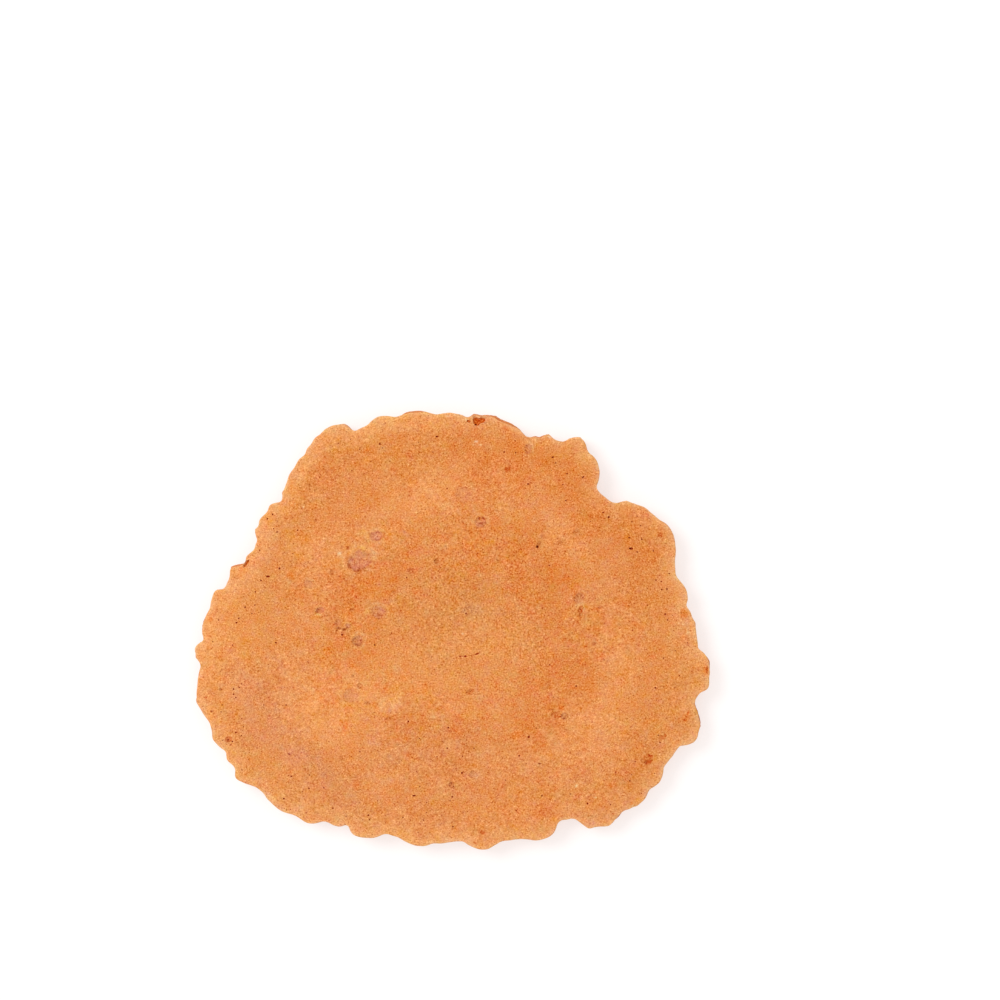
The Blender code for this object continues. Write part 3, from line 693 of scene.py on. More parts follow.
@dataclass
class SolidCookie:
    """The cookie's solid in the frame, measured by rays."""

    node: str
    levels: int = 12  # heights at which the side's reach is felt
    far: float = 80.0
    tree: BVHTree = field(init=False)
    low: Vector = field(init=False)
    high: Vector = field(init=False)

    def __post_init__(self) -> None:
        """Reads the node's mesh and box."""
        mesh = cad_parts[self.node].data
        places = [vertex.co / MM for vertex in mesh.vertices]
        self.tree = BVHTree.FromPolygons(places, [face.vertices[:] for face in mesh.polygons])
        self.low, self.high = (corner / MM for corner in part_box(self.node))

    def height(self, x: float, y: float, toward: int) -> float:
        """Feels the solid along a level line of sight.

        Args:
            x: The place to feel.
            y: The place to feel.
            toward: -1 to feel the skin from above, 1 to feel the sole from below.

        Returns:
            The height of the surface there, or of the nearest surface where the solid ends.
        """
        start = Vector((x, y, -toward * self.far))
        hit = self.tree.ray_cast(start, Vector((0.0, 0.0, toward)))[0]
        if hit is None:
            hit = self.tree.find_nearest(start)[0]
        return hit.z

    def heights(self, points: Array, toward: int) -> Array:
        """Feels the skin or the sole at many points, as height does at one."""
        return np.array([self.height(x, y, toward) for x, y in points[:, :2]])

    def reach(self, bearing: float) -> float:
        """Feels how far the side reaches from the middle.

        Args:
            bearing: The bearing to feel at, in radians.

        Returns:
            The greatest distance at any height.
        """
        outward = Vector((math.cos(bearing), math.sin(bearing), 0.0))
        widest = 0.0
        for level in range(1, self.levels):
            start = outward * self.far
            start.z = self.high.z * level / self.levels
            hit = self.tree.ray_cast(start, -outward)[0]
            if hit is not None:
                widest = max(widest, hit.xy.length)
        return widest

    def outline(self, count: int) -> Array:
        """Feels the outline seen from above.

        Args:
            count: At how many even bearings to feel it.

        Returns:
            Its points.
        """
        bearings = [math.tau * step / count for step in range(count)]
        reaches = [self.reach(bearing) for bearing in bearings]
        return np.column_stack((np.cos(bearings) * reaches, np.sin(bearings) * reaches))


def evened(points: Array, count: int) -> Array:
    """Spreads points evenly along a closed line.

    Args:
        points: The line's points.
        count: How many points to spread.

    Returns:
        The new points.
    """
    closed = np.vstack((points, points[:1]))
    travelled = np.concatenate(([0.0], np.cumsum(np.linalg.norm(np.diff(closed, axis=0), axis=1))))
    wanted = np.linspace(0.0, travelled[-1], count, endpoint=False)
    return np.column_stack([np.interp(wanted, travelled, column) for column in closed.T])


def evened_out(values: Array, rounds: int) -> Array:
    """Takes the small unevenness out of values round a closed line.

    Args:
        values: A value or a row of them for each point of the line.
        rounds: How often each is averaged with its neighbours.

    Returns:
        The evened values.
    """
    for _ in range(rounds):
        values = (np.roll(values, 1, axis=0) + 2.0 * values + np.roll(values, -1, axis=0)) / 4.0
    return values


def middle_value(values: Array, reach: int) -> Array:
    """Gives the median of each value and those within a reach of it, round a closed line."""
    return np.median([np.roll(values, step) for step in range(-reach, reach + 1)], axis=0)


def moved_in(points: Array, distance: Array | float) -> Array:
    """Moves a closed line inwards, a little at a time so that its notches stay open.

    Args:
        points: The line's points, anticlockwise.
        distance: How far to move it, for all points or for each.

    Returns:
        The moved points.
    """
    distance = np.broadcast_to(distance, len(points))
    steps = max(1, math.ceil(float(np.abs(distance).max()) / INSET_STEP))
    for step in range(steps):
        along = np.roll(points, -2, axis=0) - np.roll(points, 2, axis=0)
        inward = np.column_stack((-along[:, 1], along[:, 0]))
        inward /= np.linalg.norm(inward, axis=1, keepdims=True)
        points = points + inward * (distance / steps)[:, None]
        points = evened_out(points, step)
    return points


def reach_of(line: Array, places: Array) -> Array:
    """Measures how far from the middle a closed line runs.

    Args:
        line: The line's points.
        places: The places at whose bearings it is measured.

    Returns:
        The line's distance from the middle, for each place.
    """
    bearings = np.arctan2(line[:, 1], line[:, 0])
    order = np.argsort(bearings)
    reaches = np.hypot(line[:, 0], line[:, 1])
    wanted = np.arctan2(places[:, 1], places[:, 0])
    return np.interp(wanted, bearings[order], reaches[order], period=math.tau)


def relaxed(heights: Array, triangles: Array, free: Array, rounds: int) -> Array:
    """Evens out the heights of a net of triangles.

    Args:
        heights: The height of each point.
        triangles: The corners of each triangle.
        free: Which points may move.
        rounds: How many times each free point moves to the mean of its neighbours.

    Returns:
        The new heights.
    """
    count = len(heights)
    first = triangles.ravel()
    second = np.roll(triangles, -1, axis=1).ravel()
    ends = np.concatenate((first, second))
    others = np.concatenate((second, first))
    degree = np.maximum(np.bincount(ends, minlength=count), 1)
    for _ in range(rounds):
        mean = np.bincount(ends, heights[others], minlength=count) / degree
        heights = np.where(free, mean, heights)
    return heights


def hexagon_field(gap: float, reach: float) -> Array:
    """Spaces points evenly, in rows half a step apart from each other.

    Args:
        gap: The distance between neighbours.
        reach: How far from the middle they go.

    Returns:
        The points.
    """
    row_gap = gap * math.sqrt(3.0) / 2.0
    rows = np.arange(-math.ceil(reach / row_gap), math.ceil(reach / row_gap) + 1)
    columns = np.arange(-math.ceil(reach / gap), math.ceil(reach / gap) + 1)
    column, row = np.meshgrid(columns, rows)
    places = np.column_stack(((column + 0.5 * (row % 2)).ravel() * gap, row.ravel() * row_gap))
    return places[np.hypot(places[:, 0], places[:, 1]) < reach]


# ---- The dough ----


@dataclass
class Sheet:
    """A net of triangles that fills a closed line, seen from above."""

    line: Array
    tree: KDTree = field(init=False)
    places: Array = field(init=False)  # the points inside the line
    triangles: Array = field(init=False)  # by number, with the line's points after the others

    def __post_init__(self) -> None:
        """Readies the line for measuring distances."""
        self.tree = KDTree(len(self.line))
        for index, (x, y, _) in enumerate(self.line):
            self.tree.insert((x, y, 0.0), index)
        self.tree.balance()

    def apart(self, places: Array) -> Array:
        """Gives how far places are from the line."""
        return np.array([self.tree.find((x, y, 0.0))[2] for x, y in places])

    def inside(self, places: Array, clear: float) -> Array:
        """Keeps the places inside the line that are at least so far from it."""
        places = places[np.hypot(places[:, 0], places[:, 1]) < reach_of(self.line, places)]
        return places[self.apart(places) > clear]

    def fill(self, inside: Array) -> None:
        """Fills the line with triangles.

        Args:
            inside: The places inside the line through which they run.
        """
        count = len(self.line)
        flat = [Vector(place) for place in np.vstack((self.line[:, :2], inside))]
        rim = [(i, (i + 1) % count) for i in range(count)]
        whole = [list(range(count))]
        found, _, faces, origins, _, _ = delaunay_2d_cdt(flat, rim, whole, CDT_INSIDE, CDT_NEAR)
        numbers = np.empty(len(found), dtype=int)
        kept = []
        on_line = {}
        for index, sources in enumerate(origins):
            given = [source for source in sources if source < count]
            if given:
                on_line[index] = given[0]
            else:
                numbers[index] = len(kept)
                kept.append(found[index][:])
        for index, source in on_line.items():
            numbers[index] = len(kept) + source
        self.places = np.array(kept)
        self.triangles = numbers[np.array(faces)]

    def numbered(self, start: int, line_start: int) -> Array:
        """Gives the triangles by the numbers that their points have in the whole mesh.

        Args:
            start: The number of the first point inside the line.
            line_start: The number of the line's first point.

        Returns:
            The triangles.
        """
        count = len(self.places)
        on_line = self.triangles - count + line_start
        return np.where(self.triangles < count, self.triangles + start, on_line)


@dataclass(frozen=True)
class Station:
    """One level of the side: how far it stands in, its height and how its noise moves it."""

    inset: float
    height: float  # of the lip's own height
    ragged: float = 0.0  # share of the lip's raggedness and setbacks
    sway: float = 0.0  # how far slow noise moves it
    knobbly: float = 0.0  # how far fine noise moves it
    # the band painted on this level: STRAW on the lip, painted shade in the crease
    stain_and_shade: Tint | None = None
    strength: float = 0.0
    relief: float = 0.7
    pores: float = 0.0


SIDE_STATIONS = (
    Station(0.09, 1.000, ragged=1.0, stain_and_shade=STRAW, strength=0.45, relief=0.3),
    Station(0.01, 0.975, ragged=1.0, stain_and_shade=STRAW, strength=0.60, relief=0.3),
    Station(0.05, 0.940, ragged=1.0, stain_and_shade=STRAW, strength=0.40, relief=0.3),
    # The crease under the lip is darkened with painted shade.
    Station(0.27, 0.900, ragged=0.8, sway=0.06, stain_and_shade=CREASE, strength=0.60),
    Station(0.42, 0.850, ragged=0.5, sway=0.14, stain_and_shade=CREASE, strength=0.95),
    Station(0.42, 0.810, ragged=0.3, sway=0.14, stain_and_shade=CREASE, strength=0.80),
    Station(0.27, 0.755, ragged=0.1, sway=0.06, knobbly=0.03, stain_and_shade=CREASE, strength=0.30),
    Station(0.14, 0.690, sway=0.02, knobbly=0.05, pores=0.25),
    Station(0.05, 0.610, sway=0.02, knobbly=0.06, pores=0.25),
    Station(0.00, 0.510, sway=0.02, knobbly=0.06, pores=0.25),
    Station(0.02, 0.410, sway=0.02, knobbly=0.06, pores=0.25),
    Station(0.10, 0.300, sway=0.03, knobbly=0.06, pores=0.25),
    Station(0.26, 0.190, sway=0.08, knobbly=0.05, pores=0.25),
    Station(0.55, 0.095, sway=0.16, knobbly=0.04),
    Station(0.98, 0.030, sway=0.20),
    Station(1.60, 0.000, sway=0.20),
)

# How the skin is baked: the share of the way out to the rim, how toasted and how dull it is there.
BAKING_ZONES = (
    (0.00, 0.44, 0.60),
    (0.16, 0.48, 0.60),
    (0.32, 0.90, 0.20),
    (0.50, 0.90, 0.10),
    (0.62, 0.40, 0.00),
    (0.74, 0.40, 0.10),
    (0.84, 0.66, 0.70),
    (0.94, 0.44, 0.70),
    (1.00, 0.32, 0.20),
)


@dataclass
class Dough:
    """The cookie's whole surface as one closed mesh, laid over its solid."""

    solid: SolidCookie
    rim_count: int = 1300  # points round the rim
    felt_count: int = 1440  # bearings at which the solid's side is felt
    skin_gap: float = 0.36
    sole_gap: float = 0.94
    spot_gap: float = 0.2
    edge_rings: tuple[float, ...] = (0.26, 0.54, 0.84)  # insets of the rings that follow the lip
    ring_clear: float = 0.7  # of a gap, between those rings and the even points
    clear_share: float = 1.6  # of a mark, where only its own points lie
    spot_reach: float = 2.2  # of a spot, where it has any effect

    crumbling: float = 0.09  # how ragged the outline is
    scorch_and_shade_swell: float = 0.2  # how far it stands out where the roll is painted darker
    box_ease: float = 0.25  # from the box's walls, within which the outline is drawn in
    lip_felt: float = 0.5  # how far in from the rim the skin is felt for the lip's height
    lip_reach: int = 13  # over how many rim points a lasting height is felt
    lip_rounds: int = 12
    lip_drop: float = 0.16  # how far the lip lies below the skin that was felt
    foot_felt: float = 1.75
    foot_rounds: int = 3
    smooth_lip: float = 0.03  # of the lip's raggedness, what is left out
    sway_rest: float = 0.5  # added to the slow noise, so that the side mostly moves in
    knobble_rest: float = 0.6  # added to the fine noise for the same reason
    skin_rounds: int = 30
    sole_rounds: int = 6
    fill_rounds: int = 300
    fill_share: float = 1.7  # of a tear, where the skin is evened out before it is torn

    edge_width: float = 5.5  # how wide the paler rim is
    side_baking: float = 0.5  # how toasted and how dull the side is
    tan_from_scorch_and_shade: float = 0.5
    darkest_roll_height: float = 0.58  # where the roll is painted darkest, by browning and painted shade, of the lip's own height
    darkest_roll_width: float = 0.16
    streak_steepness: float = 1.8  # how much faster the streaks change with height than along the side
    streaked: Ends = (0.75, 1.3)  # how strong the roll's darkening is, plain and by the streaks
    streak_limits: Ends = (0.1, 1.1)
    flour_on_lip: float = 0.35
    flour_width: float = 0.9
    flour_on_tears: float = 0.5
    tear_rim: float = 1.12  # of a tear
    tear_rim_width: float = 0.3
    crumb_share: float = 0.96  # of a tear, where the open crumb begins

    lip_relief: float = 0.4
    lip_relief_width: float = 0.8
    inner_pores: float = 0.22  # of the pores that the skin has near its rim
    pore_belt: Ends = (2.5, 9.0)  # the distances from the rim between which they thin out
    lip_clear: Ends = (0.3, 1.0)  # the distances from the lip between which pores begin
    tear_clear: Ends = (1.4, 1.9)  # the same from a tear, in shares of it
    crack_clear: Ends = (0.6, 0.9)
    sole_pores: float = 0.45
    foot_clear: Ends = (0.5, 1.5)

    outline: Array = field(init=False)
    places: list[Array] = field(init=False, default_factory=list)
    painted: dict[str, list[Array]] = field(init=False, default_factory=dict)
    faces: list[Array] = field(init=False, default_factory=list)
    areas: list[Array] = field(init=False, default_factory=list)

    def build(self) -> bpy.types.Mesh:
        """Builds the side, the skin and the sole, and joins them.

        Returns:
            The closed mesh, in metres.
        """
        self.outline = evened(self.solid.outline(self.felt_count), self.rim_count)
        bearings = self._bearings()
        teeth = sum((tooth.at(bearings) for tooth in TEETH), start=np.zeros(self.rim_count))
        teeth += self.crumbling * sum(uneven.at(self.outline) for uneven in CRUMBLING)
        teeth += self.scorch_and_shade_swell * sum(setback.scorch_and_shade * setback.share(bearings) for setback in SETBACKS)
        self.outline *= (1.0 + teeth / np.hypot(self.outline[:, 0], self.outline[:, 1]))[:, None]
        self.outline = self._boxed(self.outline)
        rings = self._side()
        self._sole(rings[-1])
        self._skin(rings[0])
        return self._mesh()

    def _bearings(self) -> Array:
        """Gives the bearing of each point of the outline, in degrees."""
        return np.degrees(np.arctan2(self.outline[:, 1], self.outline[:, 0]))

    def _boxed(self, outline: Array) -> Array:
        """Draws in what stands out of the solid's box, and eases what comes near its walls.

        Args:
            outline: The outline's points.

        Returns:
            The points, all inside the box.
        """
        walls = np.minimum(np.abs(self.solid.low.xy), np.abs(self.solid.high.xy))
        free = walls - self.box_ease
        beyond = np.clip(np.abs(outline) - free, 0.0, None)
        eased = free + self.box_ease * np.tanh(beyond / self.box_ease)
        return np.where(beyond > 0.0, np.sign(outline) * eased, outline)

    def _add(self, places: Array, **painted: Array) -> int:
        """Adds points to the mesh.

        Args:
            places: Where they lie, in three columns.
            painted: What is painted on them, by the name of its attribute.

        Returns:
            The number of the first.
        """
        start = sum(len(part) for part in self.places)
        self.places.append(places)
        for name, values in painted.items():
            self.painted.setdefault(name, []).append(values)
        return start

    def _side(self) -> Array:
        """Builds the side from the lip down to the sole.

        Returns:
            Its rings of points, from the lip down.
        """
        bearings = self._bearings()
        lips = middle_value(self.solid.heights(moved_in(self.outline, self.lip_felt), -1), self.lip_reach)
        lips = evened_out(lips, self.lip_rounds) - self.lip_drop
        feet = evened_out(self.solid.heights(moved_in(self.outline, self.foot_felt), 1), self.foot_rounds)
        ragged = sum(np.abs(uneven.at(self.outline)) for uneven in RAGGEDNESS)
        ragged = np.clip(ragged - self.smooth_lip, 0.0, None)
        ragged += sum(setback.depth * setback.share(bearings) for setback in SETBACKS)
        # How much darker the roll is painted here: browning, and painted shade of its steep side.
        scorch_and_shade = np.max([setback.scorch_and_shade * setback.share(bearings) for setback in SETBACKS], axis=0)
        scorch_and_shade *= SCORCH_AND_SHADE_SWAY.at(self.outline)
        sway = SLOW_SWAY.at(self.outline) + self.sway_rest

        rings = []
        for station in SIDE_STATIONS:
            heights = feet + (lips - feet) * station.height
            knobbles = sum(uneven.at(np.column_stack((self.outline, heights))) for uneven in KNOBBLES)
            inset = station.inset + station.ragged * ragged
            inset = inset + station.sway * sway + station.knobbly * (knobbles + self.knobble_rest)
            ring = moved_in(self.outline, np.clip(inset, 0.0, None))
            rings.append(np.column_stack((ring, heights)))
            self._add(
                rings[-1],
                edge=np.full(self.rim_count, station.height),
                toast=np.full(self.rim_count, self.side_baking),
                dull=np.full(self.rim_count, self.side_baking),
                relief=np.full(self.rim_count, station.relief),
                pore_share=np.full(self.rim_count, station.pores),
                tint=self._stained_and_shaded(station, heights, scorch_and_shade),
            )
        self._join(len(rings))
        return np.array(rings)

    def _stained_and_shaded(self, station: Station, heights: Array, scorch_and_shade: Array) -> Array:
        """Paints one level of the side: the pale lip, the painted shade in the crease under it, and the
        darker band round the roll.

        Args:
            station: The level.
            heights: The heights of its points.
            scorch_and_shade: How strongly the roll is painted darker at each of its points, as browning and
                as painted shade.

        Returns:
            The paint on its points.
        """
        tint = np.zeros((self.rim_count, 4))
        # Each level's band: the pale lip at the top, painted shade in the crease below it.
        if station.stain_and_shade is not None:
            tint[:] = station.stain_and_shade.value
            tint[:, 3] = np.clip(station.strength * STAIN_AND_SHADE_SWAY.at(self.outline), 0.0, 1.0)
        # The band round the widest part of the roll: tan and rust browning, with painted shade of the steep
        # side.
        tanned = TANNING.at(self.outline) + self.tan_from_scorch_and_shade * scorch_and_shade
        streaks = STREAKS.at(np.column_stack((self.outline, self.streak_steepness * heights)))
        near = bell(station.height, self.darkest_roll_height, 2.0 * self.darkest_roll_width)
        paint(tint, AMBER, tanned * near * (1.0 + streaks))
        nearest = bell(station.height, self.darkest_roll_height, self.darkest_roll_width)
        streaked = np.clip(self.streaked[0] + self.streaked[1] * streaks, *self.streak_limits)
        paint(tint, RUST, scorch_and_shade * nearest * streaked)
        return tint

    def _join(self, count: int) -> None:
        """Joins the side's rings of points with triangles.

        Args:
            count: How many rings there are.
        """
        index = np.arange(self.rim_count)
        following = (index + 1) % self.rim_count
        for row in range(count - 1):
            upper, lower = row * self.rim_count, (row + 1) * self.rim_count
            self.faces.append(np.column_stack((upper + index, lower + index, lower + following)))
            self.faces.append(np.column_stack((upper + index, lower + following, upper + following)))
            self.areas.append(np.full(2 * self.rim_count, Area.SIDE))

    def _marked(
        self, sheet: Sheet, gap: float, rings: Sequence[float], marks: Sequence[Spot | Tear]
    ) -> Array:
        """Gives the points that carry a sheet and the marks on it.

        Args:
            sheet: The sheet, with its line.
            gap: The distance between the points of its even field.
            rings: How far in the rings of points that follow the line lie.
            marks: The spots and tears that have points of their own.

        Returns:
            The points.
        """
        clear = max(rings, default=0.0) + self.ring_clear * gap
        lines = [moved_in(sheet.line[:, :2], inset) for inset in rings]
        even = sheet.inside(hexagon_field(gap, self.solid.high.xy.length), clear)
        places = np.vstack((*lines, even))
        for mark in marks:
            places = places[mark.share(places) > self.clear_share]
        extra = np.array([place for mark in marks for place in mark.places(self.spot_gap)])
        return np.vstack((places, sheet.inside(extra, min(rings, default=gap))))

    def _lay(
        self,
        spots: Sequence[Spot],
        places: Array,
        heights: Array,
        tint: Array,
        inward: float,
    ) -> None:
        """Presses spots into a sheet and colours them.

        Args:
            spots: The spots.
            places: The sheet's points.
            heights: Their heights, which are changed.
            tint: The paint on them, which is changed.
            inward: -1 where the dough lies below the sheet, 1 where it lies above.
        """
        crinkle = SPOT_CRINKLE.at(places)
        for spot in spots:
            share = spot.share(places) * crinkle
            near = share < self.spot_reach
            heights[near] += inward * spot.sink(share[near])
            painted = tint[near]
            spot.paint_on(painted, places[near], share[near])
            tint[near] = painted

    def _skin(self, lip: Array) -> None:
        """Builds the skin inside its lip, with its blisters, stains and tears.

        Args:
            lip: The side's first ring of points.
        """
        sheet = Sheet(lip)
        marks = [spot for spot in SPOTS if spot.depth > 0.0] + list(TEARS)
        sheet.fill(self._marked(sheet, self.skin_gap, self.edge_rings, marks))
        places = sheet.places
        apart = sheet.apart(places)
        count = len(places)

        heights = np.maximum(self.solid.heights(places, -1), lip[:, 2].min())
        heights = np.concatenate((heights, lip[:, 2]))
        everywhere = np.vstack((places, lip[:, :2]))
        torn = np.min([tear.share(everywhere) for tear in TEARS], axis=0) < self.fill_share
        inner = np.arange(len(heights)) < count
        heights = relaxed(heights, sheet.triangles, torn & inner, self.fill_rounds)
        heights = relaxed(heights, sheet.triangles, inner, self.skin_rounds)[:count]

        tint = np.zeros((count, 4))
        for patch in PATCHES:
            patch.paint_on(tint, places)
        on_lip = 1.0 - smooth_step(apart, 0.0, self.flour_width)
        paint(tint, STRAW, self.flour_on_lip * LIP_FLOUR.at(places) * on_lip)
        self._lay(SPOTS, places, heights, tint, inward=-1.0)
        crinkle = TEAR_CRINKLE.at(places)
        shares = [tear.share(places) * crinkle for tear in TEARS]
        for tear, share in zip(TEARS, shares):
            on_rim = 1.0 - smooth_step(np.abs(share - self.tear_rim), 0.0, self.tear_rim_width)
            paint(tint, STRAW, self.flour_on_tears * on_rim)
            heights -= tear.sink(share)
        torn_share = np.min(shares, axis=0)

        start = self._add(
            np.column_stack((places, heights)),
            **self._baking(places, apart),
            relief=self.lip_relief + (1.0 - self.lip_relief) * smooth_step(apart, 0.0, self.lip_relief_width),
            pore_share=self._porous(places, apart, torn_share),
            tint=tint,
        )
        torn_faces = np.append(torn_share, np.full(len(lip), np.inf))[sheet.triangles].mean(axis=1)
        self.faces.append(sheet.numbered(start, 0))
        self.areas.append(np.where(torn_faces < self.crumb_share, Area.CRUMB, Area.SKIN))

    def _porous(self, places: Array, apart: Array, torn_share: Array) -> Array:
        """Gives how many pores the skin has, from 0 to 1.

        Args:
            places: Where to tell it.
            apart: How far each place is from the lip.
            torn_share: Its share of the nearest tear.

        Returns:
            The share of the most pores, at each place.
        """
        pores = self.inner_pores + (1.0 - self.inner_pores) * (1.0 - smooth_step(apart, *self.pore_belt))
        pores *= smooth_step(apart, *self.lip_clear) * smooth_step(torn_share, *self.tear_clear)
        near_crack = np.min([np.hypot(places[:, 0] - x, places[:, 1] - y) for x, y, _ in CRACK], axis=0)
        return pores * smooth_step(near_crack, *self.crack_clear)

    def _baking(self, places: Array, apart: Array) -> dict[str, Array]:
        """Gives how pale, toasted and dull the skin or the sole is, from 0 to 1.

        Args:
            places: Where to tell it.
            apart: How far each place is from the rim, near which it is paler.

        Returns:
            The values at each place, by the names of their attributes.
        """
        out = np.hypot(places[:, 0], places[:, 1]) / reach_of(self.outline, places)
        out += BAKING_SWAY.at(places)
        shares, toast, dull = zip(*BAKING_ZONES)
        return {
            "edge": 1.0 - smooth_step(apart, 0.0, self.edge_width),
            "toast": np.interp(out, shares, toast),
            "dull": np.interp(out, shares, dull),
        }

    def _sole(self, foot: Array) -> None:
        """Builds the flat sole inside the foot of the side, with blisters and stains of its own.

        Args:
            foot: The side's last ring of points.
        """
        blisters = [on_sole(spot) for spot in SPOTS if spot.blister()]
        sheet = Sheet(foot)
        sheet.fill(self._marked(sheet, self.sole_gap, (), blisters))
        places = sheet.places
        apart = sheet.apart(places)
        count = len(places)
        heights = np.concatenate((self.solid.heights(places, 1), foot[:, 2]))
        inner = np.arange(len(heights)) < count
        heights = relaxed(heights, sheet.triangles, inner, self.sole_rounds)[:count]

        tint = np.zeros((count, 4))
        for patch in PATCHES:
            on_sole(patch).paint_on(tint, places)
        self._lay(blisters, places, heights, tint, inward=1.0)
        start = self._add(
            np.column_stack((places, np.maximum(heights, self.solid.low.z))),
            **self._baking(places, apart),
            relief=np.ones(count),
            pore_share=self.sole_pores * smooth_step(apart, *self.foot_clear),
            tint=tint,
        )
        self.faces.append(sheet.numbered(start, start - self.rim_count)[:, ::-1])
        self.areas.append(np.full(len(sheet.triangles), Area.SOLE))

    def _mesh(self) -> bpy.types.Mesh:
        """Makes the mesh of all the points and triangles, with what is painted on them.

        Returns:
            The closed mesh, in metres.
        """
        mesh = bpy.data.meshes.new("dough")
        mesh.from_pydata(np.vstack(self.places) * MM, [], np.vstack(self.faces).tolist())
        mesh.polygons.foreach_set("material_index", np.concatenate(self.areas).astype(np.int32))
        for name, parts in self.painted.items():
            values = np.concatenate(parts).astype(np.float32)
            kind, key = ("FLOAT", "value") if values.ndim == 1 else ("FLOAT_COLOR", "color")
            mesh.attributes.new(name, kind, "POINT").data.foreach_set(key, values.ravel())
        mesh.shade_smooth()
        mesh.update()
        return mesh


# ---- Node trees ----


class Wiring:
    """Builds one node tree, of a shader or of geometry nodes, from left to right."""

    column_gap = 190.0
    group_width = 180.0

    def __init__(self, tree: bpy.types.NodeTree) -> None:
        """Starts on a tree."""
        self.tree = tree
        self.column = 0

    def node(self, kind: str, feeds: Feeds | None = None, **settings: Any) -> bpy.types.Node:
        """Adds a node.

        Args:
            kind: The node's type.
            feeds: Its inputs by name or number, each a value or the socket to link.
            settings: Its properties.

        Returns:
            The node.
        """
        made = self.tree.nodes.new(kind)
        made.location = (self.column * self.column_gap, 0.0)
        self.column += 1
        for name, value in settings.items():
            setattr(made, name, value)
        for name, value in (feeds or {}).items():
            if isinstance(value, Socket):
                self.tree.links.new(value, made.inputs[name])
            else:
                made.inputs[name].default_value = value
        return made

    def socket(self, kind: str, feeds: Feeds | None = None, **settings: Any) -> Socket:
        """Adds a node and returns its first output."""
        return self.node(kind, feeds, **settings).outputs[0]

    def geometry(self, kind: str, feeds: Feeds | None = None, **settings: Any) -> Socket:
        """Adds a geometry node, by the rest of its type's name, and returns its first output."""
        return self.socket(f"GeometryNode{kind}", feeds, **settings)

    def maths(self, operation: str, first: Feed, second: Feed = 0.0) -> Socket:
        """Adds a sum of two numbers or another operation on them."""
        return self.socket("ShaderNodeMath", {0: first, 1: second}, operation=operation)

    def times(self, first: Feed, second: Feed) -> Socket:
        """Adds the product of two numbers."""
        return self.maths("MULTIPLY", first, second)

    def vector(self, operation: str, *feeds: Feed) -> Socket:
        """Adds an operation on vectors."""
        return self.socket("ShaderNodeVectorMath", dict(enumerate(feeds)), operation=operation)

    def scaled(self, vector: Feed, factor: Feed) -> Socket:
        """Adds the scaling of a vector by a number."""
        return self.socket("ShaderNodeVectorMath", {0: vector, "Scale": factor}, operation="SCALE")

    def remap(self, value: Feed, ends: Sequence[Feed], onto: Sequence[Feed] = (0.0, 1.0)) -> Socket:
        """Adds a smooth change of range, from between two ends onto two others."""
        feeds = {0: value, 1: ends[0], 2: ends[1], 3: onto[0], 4: onto[1]}
        return self.socket("ShaderNodeMapRange", feeds, interpolation_type="SMOOTHSTEP")

    def blend(self, share: Feed, first: Feed, second: Feed) -> Socket:
        """Adds a mix of two colours."""
        feeds = {0: share, 6: first, 7: second}
        return self.node("ShaderNodeMix", feeds, data_type="RGBA").outputs[2]

    def noise(self, place: Feed, scale: Feed, detail: float, roughness: float) -> Any:
        """Adds a noise texture and returns its outputs: a value from 0 to 1, and a colour of three such."""
        feeds = {"Vector": place, "Scale": scale, "Detail": detail, "Roughness": roughness}
        return self.node("ShaderNodeTexNoise", feeds).outputs

    def painted(self, name: str) -> Any:
        """Adds the reading of what is painted on the mesh in a shader, and returns its outputs."""
        return self.node("ShaderNodeAttribute", attribute_name=name).outputs

    def named(self, name: str, kind: str = "FLOAT") -> Socket:
        """Adds the reading of an attribute in geometry nodes."""
        return self.geometry("InputNamedAttribute", {"Name": name}, data_type=kind)

    def store(self, mesh: Feed, name: str, value: Feed, kind: str, domain: str) -> Socket:
        """Adds the writing of an attribute in geometry nodes, and returns the mesh."""
        feeds = {"Geometry": mesh, "Name": name, "Value": value}
        return self.geometry("StoreNamedAttribute", feeds, data_type=kind, domain=domain)

    def group(self, group: bpy.types.NodeTree, feeds: Feeds) -> Socket:
        """Places a shader node group with values of its own, and returns its first output."""
        return self.socket("ShaderNodeGroup", feeds, node_tree=group, width=self.group_width)


def new_tree(name: str, kind: str, inputs: Inputs, outputs: Sequence[tuple[str, str]]) -> bpy.types.NodeTree:
    """Makes a node tree with named sockets.

    Args:
        name: The tree's name.
        kind: ShaderNodeTree or GeometryNodeTree.
        inputs: Each input's name, the last part of its socket's type, and its value or None.
        outputs: Each output's name and the last part of its socket's type.

    Returns:
        The tree, with nothing in it yet.
    """
    tree = bpy.data.node_groups.new(name, kind)
    sockets = [(*row, "INPUT") for row in inputs] + [(*row, None, "OUTPUT") for row in outputs]
    for socket_name, socket_kind, value, side in sockets:
        socket_type = f"NodeSocket{socket_kind}"
        made = tree.interface.new_socket(socket_name, in_out=side, socket_type=socket_type)
        if value is not None:
            made.default_value = value
    return tree


